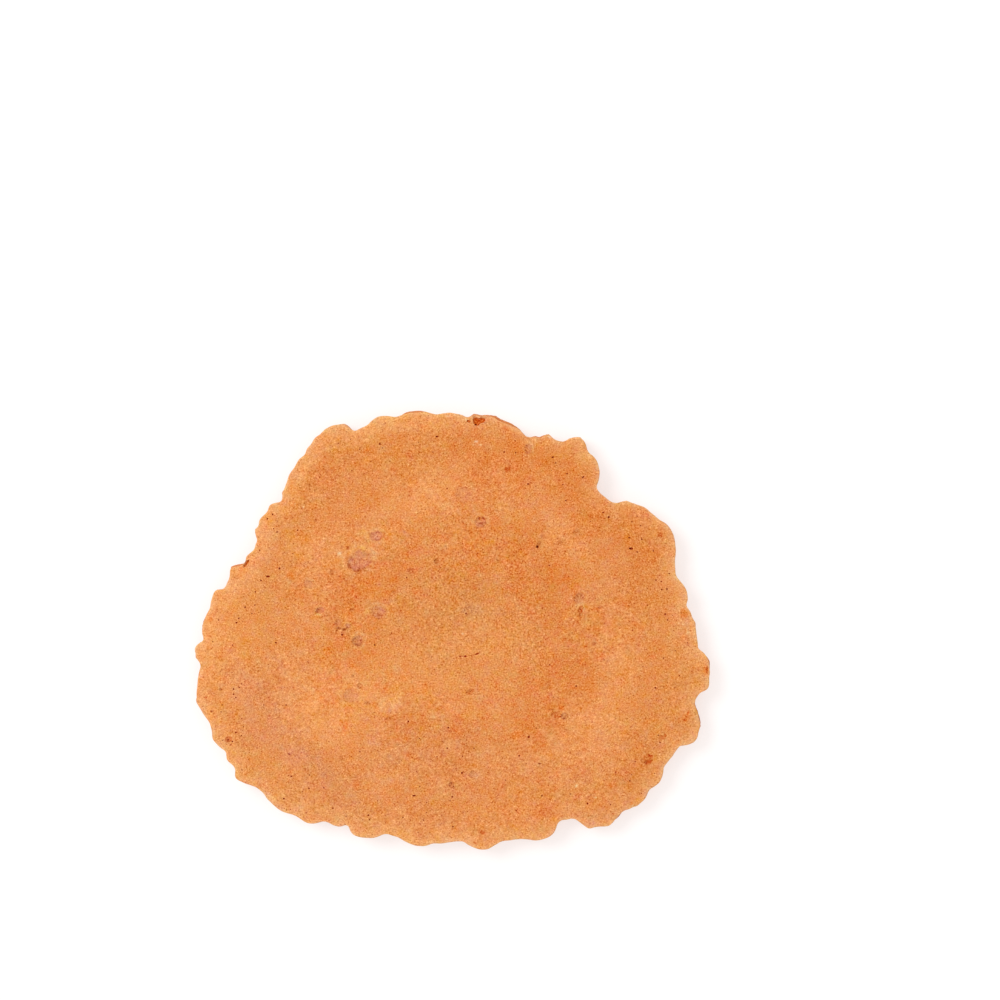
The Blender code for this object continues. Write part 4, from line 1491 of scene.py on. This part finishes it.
class DoughEffects:
    """The effects that all the dough's finishes share, each as one shader node group."""

    mottle_noise = (7.0, 0.78)  # detail and roughness
    flush_noise = (2.0, 0.8)
    flush_boldness = 7.0  # how much the few strong swings stand out from the many weak ones
    flush_channels = (0.23, 1.02, 1.90)  # how far the flush moves red, green and blue
    flush_shared = 1.8  # how far blue follows green
    grain_noise = (2.0, 0.9)
    grain_boldness = 20.0
    smallest_speck = 0.4  # of the given width, and the largest is 1 wider
    speck_edge = (0.5, 0.2)  # the distances from a speck's middle between which it fades in

    def __init__(self) -> None:
        """Builds the groups."""
        self.mottle = self._mottle()
        self.flush = self._flush()
        self.grain = self._grain()
        self.specks = self._specks()

    def _start(
        self, name: str, inputs: Inputs, outputs: Sequence[tuple[str, str]]
    ) -> tuple[Wiring, Any, Feed]:
        """Starts a group.

        Args:
            name: Its name.
            inputs: The inputs beside the place, of which the first is a distance.
            outputs: Its outputs.

        Returns:
            Its wiring, what it is given, and the scale that fits the distance.
        """
        tree = new_tree(name, "ShaderNodeTree", [("Place", "Vector", None), *inputs], outputs)
        wiring = Wiring(tree)
        given = wiring.node("NodeGroupInput").outputs
        return wiring, given, wiring.maths("DIVIDE", 1.0 / MM, given[inputs[0][0]])

    def _mottle(self) -> bpy.types.NodeTree:
        """Soft, uneven patches of every size below the one given.

        Returns:
            The group.
        """
        inputs = (
            ("Size", "Float", 8.0),
            ("Bias", "Float", 0.0),
            ("Low", "Float", 0.4),
            ("High", "Float", 0.6),
        )
        wiring, given, scale = self._start("dough_mottle", inputs, [("Mask", "Float")])
        uneven = wiring.noise(given["Place"], scale, *self.mottle_noise)[0]
        biased = wiring.maths("ADD", uneven, given["Bias"])
        mask = wiring.remap(biased, (given["Low"], given["High"]))
        wiring.node("NodeGroupOutput", {"Mask": mask})
        return wiring.tree

    def _flush(self) -> bpy.types.NodeTree:
        """A colour made redder here and yellower there, with the same lightness all over.

        Returns:
            The group.
        """
        inputs = (("Size", "Float", 2.0), ("Colour", "Color", None), ("Strength", "Float", 0.5))
        wiring, given, scale = self._start("dough_flush", inputs, [("Colour", "Color")])
        uneven = wiring.noise(given["Place"], scale, *self.flush_noise)["Color"]
        centred = wiring.vector("SUBTRACT", uneven, (0.5, 0.5, 0.5))
        squared = wiring.vector("MULTIPLY", centred, centred)
        bolder = wiring.vector("MULTIPLY_ADD", squared, (self.flush_boldness,) * 3, (1.0, 1.0, 1.0))
        bold = wiring.vector("MULTIPLY", centred, bolder)
        swing = wiring.scaled(bold, given["Strength"])
        parts = wiring.node("ShaderNodeSeparateXYZ", {0: swing}).outputs
        red, green, blue = (
            wiring.times(part, share) for part, share in zip(parts, self.flush_channels, strict=True)
        )
        both = wiring.maths("ADD", blue, wiring.times(green, self.flush_shared))
        factors = wiring.socket("ShaderNodeCombineXYZ", {0: red, 1: green, 2: both})
        changed = wiring.vector("MULTIPLY_ADD", given["Colour"], factors, given["Colour"])
        wiring.node("NodeGroupOutput", {"Colour": changed})
        return wiring.tree

    def _grain(self) -> bpy.types.NodeTree:
        """The fine grain of flour and bran, laid over a colour, and its height.

        Returns:
            The group.
        """
        inputs = (
            ("Size", "Float", 0.3),
            ("Colour", "Color", None),
            ("Flour", "Color", None),
            ("Contrast", "Float", 0.2),
        )
        wiring, given, scale = self._start("dough_grain", inputs, [("Colour", "Color"), ("Height", "Float")])
        grainy = wiring.noise(given["Place"], scale, *self.grain_noise)[0]
        centred = wiring.maths("SUBTRACT", grainy, 0.5)
        bolder = wiring.times(wiring.times(centred, centred), self.grain_boldness)
        bold = wiring.times(centred, wiring.maths("ADD", bolder, 1.0))
        swing = wiring.times(bold, given["Contrast"])
        grained = wiring.vector("MULTIPLY_ADD", given["Flour"], swing, given["Colour"])
        kept = wiring.vector("MAXIMUM", grained, (0.0, 0.0, 0.0))
        wiring.node("NodeGroupOutput", {"Colour": kept, "Height": grainy})
        return wiring.tree

    def _specks(self) -> bpy.types.NodeTree:
        """Small round specks, some way apart and of uneven size.

        Returns:
            The group.
        """
        inputs = (("Gap", "Float", 1.2), ("Width", "Float", 0.3), ("Share", "Float", 0.5))
        wiring, given, scale = self._start("dough_specks", inputs, [("Mask", "Float")])
        cells = wiring.node("ShaderNodeTexVoronoi", {"Vector": given["Place"], "Scale": scale}).outputs
        draws = wiring.node("ShaderNodeSeparateColor", {"Color": cells["Color"]}).outputs
        kept = wiring.maths("LESS_THAN", draws["Red"], given["Share"])
        apart = wiring.times(cells["Distance"], given["Gap"])
        size = wiring.times(given["Width"], wiring.maths("ADD", draws["Green"], self.smallest_speck))
        edge = [wiring.times(size, share) for share in self.speck_edge]
        wiring.node("NodeGroupOutput", {"Mask": wiring.times(wiring.remap(apart, edge), kept)})
        return wiring.tree


@dataclass(frozen=True)
class Veil:
    """Small uneven patches of another colour, stronger or weaker where the dough is toasted."""

    colour: Colour
    size: float
    ends: Ends  # the values of the mottle between which the patches begin
    strengths: Ends  # where the dough is least and where it is most toasted


@dataclass(frozen=True)
class Specks:
    """Small round specks of one colour."""

    colour: Colour
    gap: float
    share: float  # of the places where one could lie
    strength: float
    width: float = 0.3


HAZE = Veil(looks(228, 154, 100), 1.5, (0.46, 0.64), (0.65, 0.40))
EMBERS = Veil(ORANGE.value, 1.1, (0.55, 0.68), (0.14, 0.28))
BRAN = Specks(RUST.value, gap=1.1, share=0.4, strength=0.5)
FLECKS = Specks(STRAW.value, gap=1.6, share=0.25, strength=0.3)


@dataclass(frozen=True)
class Finish:
    """How one part of the dough looks: its colours, and how strongly each effect marks it."""

    name: str
    base: Colour
    toasted: Colour
    dull: Colour
    edge: Colour
    toast_share: float = 0.8
    toast_bias: float = 0.26
    toast_ends: Ends = (0.1, 0.9)  # the toasting between which the veils change
    dull_shares: Ends = (0.8, 0.32)  # where the mottle is light and where it is dark
    edge_share: float = 0.6
    edge_ends: Ends = (0.1, 0.9)
    edge_mottle: float = -0.25
    mottle_size: float = 5.0
    mottle_ends: Ends = (0.36, 0.67)
    veils: tuple[Veil, ...] = (HAZE, EMBERS)
    tint_share: float = 1.0
    specks: tuple[Specks, ...] = (BRAN, FLECKS)
    flush_size: float = 1.9
    flush_ends: Ends = (0.4, 0.9)  # the toasting between which the flush grows
    flush_strengths: Ends = (0.50, 0.70)
    flour: Colour = (0.78, 0.52, 0.25, 1.0)  # what the grain adds where it is light
    grain_size: float = 0.27
    grain_contrast: float = 1.02
    grain_height: float = 0.05
    grain_ends: Ends = (0.2, 0.8)  # the heights of the grain between which it is rougher and smoother
    roughness: float = 0.72
    roughness_swing: float = 0.08
    specular: float = 0.08

    def material(self, effects: DoughEffects) -> bpy.types.Material:
        """Makes the finish.

        Args:
            effects: The node groups that the finishes share.

        Returns:
            The material.
        """
        material = bpy.data.materials.new(self.name)
        material.use_nodes = True
        shader = material.node_tree.nodes["Principled BSDF"]
        wiring = Wiring(material.node_tree)
        place = wiring.node("ShaderNodeTexCoord").outputs["Object"]
        toast = wiring.painted("toast")["Fac"]
        colour = self._coloured(wiring, effects, place, toast)

        flush = wiring.remap(toast, self.flush_ends, self.flush_strengths)
        feeds = {"Place": place, "Size": self.flush_size, "Colour": colour, "Strength": flush}
        colour = wiring.group(effects.flush, feeds)
        feeds = {"Place": place, "Size": self.grain_size, "Colour": colour}
        feeds |= {"Flour": self.flour, "Contrast": self.grain_contrast}
        grained = wiring.group(effects.grain, feeds)
        height = grained.node.outputs["Height"]
        feeds = {"Height": height, "Distance": self.grain_height * MM, "Strength": 1.0}
        bump = wiring.node("ShaderNodeBump", feeds).outputs["Normal"]
        swing = (self.roughness + self.roughness_swing, self.roughness - self.roughness_swing)
        rough = wiring.remap(height, self.grain_ends, swing)
        for name, socket in (("Base Color", grained), ("Roughness", rough), ("Normal", bump)):
            material.node_tree.links.new(socket, shader.inputs[name])
        shader.inputs["Specular IOR Level"].default_value = self.specular
        return material

    def _coloured(self, wiring: Wiring, effects: DoughEffects, place: Feed, toast: Feed) -> Socket:
        """Lays the finish's colours over one another, but for the flush and the grain.

        Args:
            wiring: The material's wiring.
            effects: The node groups that the finishes share.
            place: Where the shading point lies.
            toast: How toasted the dough is there.

        Returns:
            The colour.
        """
        bias = wiring.times(wiring.maths("SUBTRACT", toast, 0.5), self.toast_bias)
        mottle = self._mottled(wiring, effects, place, self.mottle_size, self.mottle_ends, bias)
        colour = wiring.blend(wiring.times(mottle, self.toast_share), self.base, self.toasted)

        patchy = wiring.remap(mottle, (0.0, 1.0), self.dull_shares)
        colour = wiring.blend(wiring.times(wiring.painted("dull")["Fac"], patchy), colour, self.dull)
        for veil in self.veils:
            mask = self._mottled(wiring, effects, place, veil.size, veil.ends)
            strength = wiring.remap(toast, self.toast_ends, veil.strengths)
            colour = wiring.blend(wiring.times(mask, strength), colour, veil.colour)

        edge = wiring.painted("edge")["Fac"]
        uneven_edge = wiring.maths("ADD", edge, wiring.times(mottle, self.edge_mottle))
        paleness = wiring.times(wiring.remap(uneven_edge, self.edge_ends), self.edge_share)
        colour = wiring.blend(paleness, colour, self.edge)
        tint = wiring.painted("tint")
        colour = wiring.blend(wiring.times(tint["Alpha"], self.tint_share), colour, tint["Color"])
        for specks in self.specks:
            feeds = {"Place": place, "Gap": specks.gap, "Width": specks.width, "Share": specks.share}
            mask = wiring.group(effects.specks, feeds)
            colour = wiring.blend(wiring.times(mask, specks.strength), colour, specks.colour)
        return colour

    def _mottled(
        self, wiring: Wiring, effects: DoughEffects, place: Feed, size: float, ends: Ends, bias: Feed = 0.0
    ) -> Socket:
        """Places the mottle group with patches of the given size, and returns its mask."""
        feeds = {"Place": place, "Size": size, "Bias": bias, "Low": ends[0], "High": ends[1]}
        return wiring.group(effects.mottle, feeds)


OPEN_CRUMB = Finish(
    name="open_crumb",
    base=looks(228, 122, 16),
    toasted=looks(208, 96, 6),
    dull=looks(208, 96, 6),
    edge=looks(228, 122, 16),
    edge_share=0.0,
    mottle_size=1.2,
    veils=(),
    tint_share=0.0,
    specks=(replace(BRAN, strength=0.3),),
    flush_strengths=(0.15, 0.15),
    roughness=0.8,
)

FINISHES = {
    Area.SKIN: Finish(
        name="baked_skin",
        base=looks(234, 154, 94),
        toasted=looks(225, 136, 70),
        dull=looks(224, 146, 76),
        edge=looks(241, 167, 106),
    ),
    Area.SIDE: Finish(
        name="rolled_side",
        base=looks(232, 156, 102),
        toasted=looks(226, 140, 82),
        dull=looks(232, 156, 102),
        edge=looks(244, 176, 118),
        edge_share=0.5,
        edge_ends=(0.8, 1.2),
        specks=(replace(BRAN, strength=0.3), FLECKS),
        grain_contrast=0.5,
        grain_height=0.03,
    ),
    Area.SOLE: Finish(
        name="flat_sole",
        base=looks(227, 146, 84),
        toasted=looks(209, 116, 52),
        dull=looks(216, 135, 68),
        edge=looks(238, 163, 102),
        edge_share=0.7,
        mottle_size=6.5,
        specks=(replace(BRAN, strength=0.6), FLECKS),
    ),
    Area.CRUMB: OPEN_CRUMB,
    Area.PORE: replace(
        OPEN_CRUMB,
        name="pore_lining",
        base=looks(196, 72, 16),
        toasted=looks(170, 54, 10),
        dull=looks(170, 54, 10),
        edge=looks(196, 72, 16),
        specks=(),
        grain_contrast=0.25,
    ),
}


# ---- Relief, pores and crack by geometry nodes ----


def placed(name: str, data: bpy.types.ID) -> bpy.types.Object:
    """Makes an object of a mesh, a lamp or a camera, and puts it in the scene.

    Args:
        name: The object's name.
        data: The mesh, lamp or camera.

    Returns:
        The object.
    """
    made = bpy.data.objects.new(name, data)
    bpy.context.scene.collection.objects.link(made)
    return made


@dataclass
class BakedRelief:
    """The relief of the baked dough, its pores and its crack, as one geometry nodes tree."""

    pebble_size: float = 1.15
    pebble_height: float = 0.07
    grain_size: float = 0.5
    grain_height: float = 0.04
    relief_noise: tuple[float, float] = (1.0, 0.5)  # detail and roughness
    pore_gap: float = 0.75
    pores_per_square_cm: float = 15.0
    smallest_pore: float = 0.13  # across
    largest_pore: float = 0.32
    pore_rarity: float = 2.5  # how much rarer large pores are than small ones
    pore_depth: float = 1.3  # of its width
    least_stretch: tuple[float, float, float] = (0.8, 0.8, 0.9)
    most_stretch: tuple[float, float, float] = (1.3, 1.1, 1.3)
    facets: int = 1  # subdivisions of the ball that cuts a pore
    crack_sides: int = 6

    def inputs(self, lining: bpy.types.Material) -> Inputs:
        """Names the tree's inputs, each with its kind and value.

        Args:
            lining: The material of the pores' walls.

        Returns:
            The inputs.
        """
        return [
            ("Dough", "Geometry", None),
            ("Marked Pores", "Object", self._marked_pores()),
            ("Crack", "Object", self._crack()),
            ("Pebble Size", "Float", self.pebble_size * MM),
            ("Pebble Height", "Float", self.pebble_height * MM),
            ("Grain Size", "Float", self.grain_size * MM),
            ("Grain Height", "Float", self.grain_height * MM),
            ("Pore Gap", "Float", self.pore_gap * MM),
            ("Pores per Square Metre", "Float", self.pores_per_square_cm * 1.0e4),
            ("Smallest Pore", "Float", self.smallest_pore * MM),
            ("Largest Pore", "Float", self.largest_pore * MM),
            ("Pore Depth", "Float", self.pore_depth),
            ("Seed", "Int", SEED),
            ("Lining", "Material", lining),
        ]

    def _marked_pores(self) -> bpy.types.Object:
        """Makes the pores that stand out as loose points, each with its size and turn.

        Returns:
            The object that holds the points.
        """
        mesh = bpy.data.meshes.new("marked_pores")
        rows = np.array(MARKED_PORES)
        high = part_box(COOKIE_NODE)[1].z
        mesh.from_pydata([(x * MM, y * MM, high) for x, y in rows[:, :2]], [], [])
        lengths, widths = rows[:, 2], rows[:, 3]
        depths = np.sqrt(lengths * widths) * self.pore_depth
        sizes = np.column_stack((lengths, widths, depths)) / 2.0 * MM
        size = mesh.attributes.new("pore_size", "FLOAT_VECTOR", "POINT")
        size.data.foreach_set("vector", sizes.ravel())
        turn = mesh.attributes.new("pore_turn", "FLOAT", "POINT")
        turn.data.foreach_set("value", np.radians(rows[:, 4]))
        return placed("marked_pores", mesh)

    def _crack(self) -> bpy.types.Object:
        """Makes the crack as a line of points, each with its width.

        Returns:
            The object that holds the line.
        """
        mesh = bpy.data.meshes.new("crack")
        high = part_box(COOKIE_NODE)[1].z
        places = [(x * MM, y * MM, high) for x, y, _ in CRACK]
        mesh.from_pydata(places, [(i, i + 1) for i in range(len(CRACK) - 1)], [])
        width = mesh.attributes.new("crack_width", "FLOAT", "POINT")
        width.data.foreach_set("value", [row[2] * MM for row in CRACK])
        return placed("crack", mesh)

    def tree(self, inputs: Inputs) -> bpy.types.NodeTree:
        """Builds the tree.

        Args:
            inputs: The inputs' names, kinds and values.

        Returns:
            The tree, which takes the smooth dough and gives it its relief, pores and crack.
        """
        unset = [(name, kind, None) for name, kind, _ in inputs]
        wiring = Wiring(new_tree("baked_relief", "GeometryNodeTree", unset, [("Cookie", "Geometry")]))
        given = wiring.node("NodeGroupInput").outputs
        rough = self._roughened(wiring, given)
        pores = self._pores(wiring, given, rough)
        crack = self._cut_crack(wiring, given, rough)
        cutters = self._joined(wiring, (pores, crack))
        loose = wiring.geometry("RealizeInstances", {"Geometry": cutters})
        marked = wiring.store(loose, "cut", True, "BOOLEAN", "FACE")
        kind, solving = "GeometryNodeMeshBoolean", {"operation": "DIFFERENCE", "solver": "MANIFOLD"}
        cut = wiring.node(kind, {0: rough, 1: marked}, **solving).outputs["Mesh"]
        whole = wiring.geometry("Triangulate", {0: cut})
        for name in ("edge", "toast", "dull", "tint"):
            kind = "FLOAT_COLOR" if name == "tint" else "FLOAT"
            feeds = {"Mesh": rough, "Value": wiring.named(name, kind)}
            sampled = wiring.geometry("SampleNearestSurface", feeds, data_type=kind)
            whole = wiring.store(whole, name, sampled, kind, "POINT")
        was_cut = wiring.named("cut", "BOOLEAN")
        real = wiring.geometry("RealizeInstances", {"Geometry": whole})
        feeds = {"Geometry": real, "Selection": was_cut, "Material": given["Lining"]}
        dressed = wiring.geometry("SetMaterial", feeds)
        wiring.node("NodeGroupOutput", {"Cookie": dressed})
        return wiring.tree

    def _joined(self, wiring: Wiring, parts: Sequence[Socket]) -> Socket:
        """Joins parts into one.

        Args:
            wiring: The tree's wiring.
            parts: The parts.

        Returns:
            All of them together.
        """
        both = wiring.node("GeometryNodeJoinGeometry")
        for part in parts:
            wiring.tree.links.new(part, both.inputs[0])
        return both.outputs[0]

    def _roughened(self, wiring: Wiring, given: Any) -> Socket:
        """Sinks the surface unevenly along its normals, never outwards.

        Args:
            wiring: The tree's wiring.
            given: What the tree is given.

        Returns:
            The surface with its relief.
        """
        position = wiring.geometry("InputPosition")
        steps = []
        for form in ("Pebble", "Grain"):
            scale = wiring.maths("DIVIDE", 1.0, given[f"{form} Size"])
            uneven = wiring.noise(position, scale, *self.relief_noise)[0]
            steps.append(wiring.times(uneven, given[f"{form} Height"]))
        sunk = wiring.times(wiring.maths("ADD", *steps), wiring.named("relief"))
        normal = wiring.geometry("InputNormal")
        offset = wiring.scaled(normal, wiring.times(sunk, -1.0))
        feeds = {"Geometry": given["Dough"], "Offset": offset}
        return wiring.geometry("SetPosition", feeds)

    def _on_surface(self, wiring: Wiring, points: Feed, surface: Feed) -> Socket:
        """Drops points straight down onto the surface.

        Args:
            wiring: The tree's wiring.
            points: The points, all above it.
            surface: The surface.

        Returns:
            The points on it.
        """
        position = wiring.geometry("InputPosition")
        feeds = {"Target Geometry": surface, "Source Position": position, "Ray Direction": (0.0, 0.0, -1.0)}
        ray = wiring.node("GeometryNodeRaycast", feeds, data_type="FLOAT").outputs
        feeds = {"Geometry": points, "Position": ray["Hit Position"]}
        return wiring.geometry("SetPosition", feeds)

    def _pores(self, wiring: Wiring, given: Any, rough: Feed) -> Socket:
        """Puts a ball on the surface for each pore, marked or scattered.

        Args:
            wiring: The tree's wiring.
            given: What the tree is given.
            rough: The surface.

        Returns:
            The balls.
        """
        listed = wiring.node("GeometryNodeObjectInfo", {"Object": given["Marked Pores"]}).outputs["Geometry"]
        marked = wiring.geometry("MeshToPoints", {"Mesh": listed})
        marked = self._on_surface(wiring, marked, rough)
        size = wiring.named("pore_size", "FLOAT_VECTOR")
        spin = wiring.socket("ShaderNodeCombineXYZ", {"Z": wiring.named("pore_turn")})
        set_out = self._balls(wiring, marked, self.facets + 1, spin, size)
        return self._joined(wiring, (self._scattered(wiring, given, rough, marked), set_out))

    def _scattered(self, wiring: Wiring, given: Any, rough: Feed, marked: Feed) -> Socket:
        """Scatters small pores over the dough, clear of the marked ones.

        Args:
            wiring: The tree's wiring.
            given: What the tree is given.
            rough: The surface.
            marked: The points of the marked pores.

        Returns:
            A ball for each.
        """
        feeds = {
            "Mesh": rough,
            "Distance Min": given["Pore Gap"],
            "Density Max": given["Pores per Square Metre"],
            "Density Factor": wiring.named("pore_share"),
            "Seed": given["Seed"],
        }
        kind = "GeometryNodeDistributePointsOnFaces"
        points = wiring.node(kind, feeds, distribute_method="POISSON").outputs
        near = wiring.node("GeometryNodeProximity", {"Geometry": marked}, target_element="POINTS").outputs
        crowded = wiring.maths("LESS_THAN", near["Distance"], given["Pore Gap"])
        feeds = {"Geometry": points["Points"], "Selection": crowded}
        free = wiring.geometry("DeleteGeometry", feeds)

        kind = "FunctionNodeRandomValue"
        draw = wiring.node(kind, {"Seed": given["Seed"]}, data_type="FLOAT").outputs[1]
        small = wiring.times(given["Smallest Pore"], 0.5)
        large = wiring.times(given["Largest Pore"], 0.5)
        skewed = wiring.maths("POWER", draw, self.pore_rarity)
        spread = wiring.times(skewed, wiring.maths("SUBTRACT", large, small))
        radius = wiring.maths("ADD", small, spread)
        feeds = {0: self.least_stretch, 1: self.most_stretch, "Seed": SEED + 1}
        stretch = wiring.socket(kind, feeds, data_type="FLOAT_VECTOR")
        size = wiring.scaled(stretch, radius)
        feeds = {0: (0.0, 0.0, 0.0), 1: (0.0, 0.0, math.tau)}
        spin = wiring.socket(kind, feeds, data_type="FLOAT_VECTOR")
        feeds = {0: points["Rotation"], 1: spin}
        turned = wiring.socket("FunctionNodeRotateRotation", feeds, rotation_space="LOCAL")
        return self._balls(wiring, free, self.facets, turned, size)

    def _balls(self, wiring: Wiring, points: Feed, facets: int, turn: Feed, size: Feed) -> Socket:
        """Puts a ball on each point.

        Args:
            wiring: The tree's wiring.
            points: The points.
            facets: How finely the ball is divided.
            turn: The turn of each ball.
            size: Its reach along its own three directions.

        Returns:
            The balls.
        """
        ball = wiring.geometry("MeshIcoSphere", {"Radius": 1.0, "Subdivisions": facets})
        feeds = {"Points": points, "Instance": ball, "Rotation": turn, "Scale": size}
        return wiring.geometry("InstanceOnPoints", feeds)

    def _cut_crack(self, wiring: Wiring, given: Any, rough: Feed) -> Socket:
        """Sweeps a closed tube of changing width along the crack.

        Args:
            wiring: The tree's wiring.
            given: What the tree is given.
            rough: The surface.

        Returns:
            The tube.
        """
        line = wiring.node("GeometryNodeObjectInfo", {"Object": given["Crack"]}).outputs["Geometry"]
        line = self._on_surface(wiring, line, rough)
        curve = wiring.geometry("MeshToCurve", {"Mesh": line})
        radius = wiring.times(wiring.named("crack_width"), 0.5)
        sized = wiring.geometry("SetCurveRadius", {"Curve": curve, "Radius": radius})
        feeds = {"Resolution": self.crack_sides, "Radius": 1.0}
        profile = wiring.geometry("CurvePrimitiveCircle", feeds)
        feeds = {"Curve": sized, "Profile Curve": profile, "Fill Caps": True, "Scale": radius}
        return wiring.geometry("CurveToMesh", feeds)


def set_inputs(modifier: bpy.types.Modifier, inputs: Inputs) -> None:
    """Sets a geometry nodes modifier's inputs, found by name and set by identifier.

    Args:
        modifier: The modifier.
        inputs: The inputs' names, kinds and values, of which None is left unset.
    """
    values = {name: value for name, _, value in inputs if value is not None}
    for item in modifier.node_group.interface.items_tree:
        if item.item_type == "SOCKET" and item.in_out == "INPUT" and item.name in values:
            modifier[item.identifier] = values[item.name]


# ---- The cookie, and the studio ----


@dataclass
class Cookie:
    """The dressed cookie: one piece that stands for the frame's solid."""

    name: str = "baked_cookie"
    sharp_angle: float = 48.0  # degrees
    relief: BakedRelief = field(default_factory=BakedRelief)

    def build(self) -> bpy.types.Object:
        """Builds the cookie and puts it in the solid's place.

        Returns:
            The finished piece.
        """
        effects = DoughEffects()
        materials = [FINISHES[area].material(effects) for area in Area]
        mesh = Dough(SolidCookie(COOKIE_NODE)).build()
        for material in materials:
            mesh.materials.append(material)
        baked = self._baked(placed("smooth_dough", mesh), materials[Area.PORE])
        baked.shade_smooth()
        baked.set_sharp_from_angle(angle=math.radians(self.sharp_angle))
        piece = placed(self.name, baked)
        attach(piece, BODY)
        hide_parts(COOKIE_NODE)
        log.info("%s: %d triangles", piece.name, len(baked.polygons))
        return piece

    def _baked(self, smooth: bpy.types.Object, lining: bpy.types.Material) -> bpy.types.Mesh:
        """Runs the relief tree on the smooth dough, and clears up what it was made from.

        Args:
            smooth: The smooth dough, which is removed.
            lining: The material of the pores' walls.

        Returns:
            The mesh with its relief, pores and crack.
        """
        inputs = self.relief.inputs(lining)
        modifier = smooth.modifiers.new("baked_relief", "NODES")
        modifier.node_group = self.relief.tree(inputs)
        set_inputs(modifier, inputs)
        depsgraph = bpy.context.evaluated_depsgraph_get()
        baked = bpy.data.meshes.new_from_object(
            smooth.evaluated_get(depsgraph), preserve_all_data_layers=True, depsgraph=depsgraph
        )
        baked.name = self.name
        for helper in [smooth] + [value for _, kind, value in inputs if kind == "Object"]:
            bpy.data.objects.remove(helper)
        return baked


@dataclass
class Studio:
    """A plain white table, soft light from the upper left, and the camera straight above."""

    table_size: float = 24.0  # metres
    table_colour: Colour = (0.36, 0.36, 0.36, 1.0)
    table_roughness: float = 0.9
    table_specular: float = 0.1
    table_glow: float = 0.65  # the table is lit from within
    glow_colour: Colour = (1.0, 0.935, 0.915, 1.0)
    sky_colour: Colour = (1.0, 1.0, 1.0, 1.0)
    sky_strength: float = 0.95
    key_power: float = 8.6
    key_size: float = 0.7  # metres
    key_place: tuple[float, float, float] = (-0.75, 0.45, 1.0)  # metres
    lens: float = 105.0
    sensor: float = 36.0
    view_width: float = 175.0  # across the picture, at the skin
    view_middle: tuple[float, float] = (8.35, 22.8)

    def build(self) -> None:
        """Builds the table, the light and the camera."""
        self._table()
        self._light()
        self._camera()
        bpy.context.scene.view_settings.view_transform = "Standard"

    def _table(self) -> None:
        """Lays the table under the cookie."""
        half = self.table_size / 2.0
        corners = [(-half, -half, 0.0), (half, -half, 0.0), (half, half, 0.0), (-half, half, 0.0)]
        mesh = bpy.data.meshes.new("table")
        mesh.from_pydata(corners, [], [(0, 1, 2, 3)])
        material = bpy.data.materials.new("table_white")
        material.use_nodes = True
        shader = material.node_tree.nodes["Principled BSDF"]
        values = {
            "Base Color": self.table_colour,
            "Roughness": self.table_roughness,
            "Specular IOR Level": self.table_specular,
            "Emission Color": self.glow_colour,
            "Emission Strength": self.table_glow,
        }
        for name, value in values.items():
            shader.inputs[name].default_value = value
        mesh.materials.append(material)
        placed("table", mesh)

    def _light(self) -> None:
        """Hangs one broad lamp in an evenly bright room."""
        world = bpy.data.worlds.new("studio")
        world.use_nodes = True
        background = world.node_tree.nodes["Background"]
        background.inputs["Color"].default_value = self.sky_colour
        background.inputs["Strength"].default_value = self.sky_strength
        bpy.context.scene.world = world
        lamp = bpy.data.lights.new("key", "AREA")
        lamp.shape = "DISK"
        lamp.size = self.key_size
        lamp.energy = self.key_power
        key = placed("key", lamp)
        key.location = self.key_place
        key.rotation_euler = (-Vector(self.key_place)).to_track_quat("-Z", "Y").to_euler()

    def _camera(self) -> None:
        """Hangs the camera over the middle of the picture, looking straight down."""
        camera = placed("camera", bpy.data.cameras.new("camera"))
        camera.data.lens = self.lens
        camera.data.sensor_width = self.sensor
        height = self.view_width * self.lens / self.sensor
        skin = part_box(COOKIE_NODE)[1].z / MM
        camera.location = Vector((*self.view_middle, skin + height)) * MM
        bpy.context.scene.camera = camera


def main() -> None:
    """Builds the cookie and the studio, and reports them."""
    logging.basicConfig(level=logging.INFO, format="%(name)s: %(message)s")
    cookie = Cookie().build()
    log.info("%s: %s mm", cookie.name, [round(side / MM, 2) for side in cookie.dimensions])
    Studio().build()
    log.info("studio: table, key light and camera")


if __name__ == "__main__":
    main()
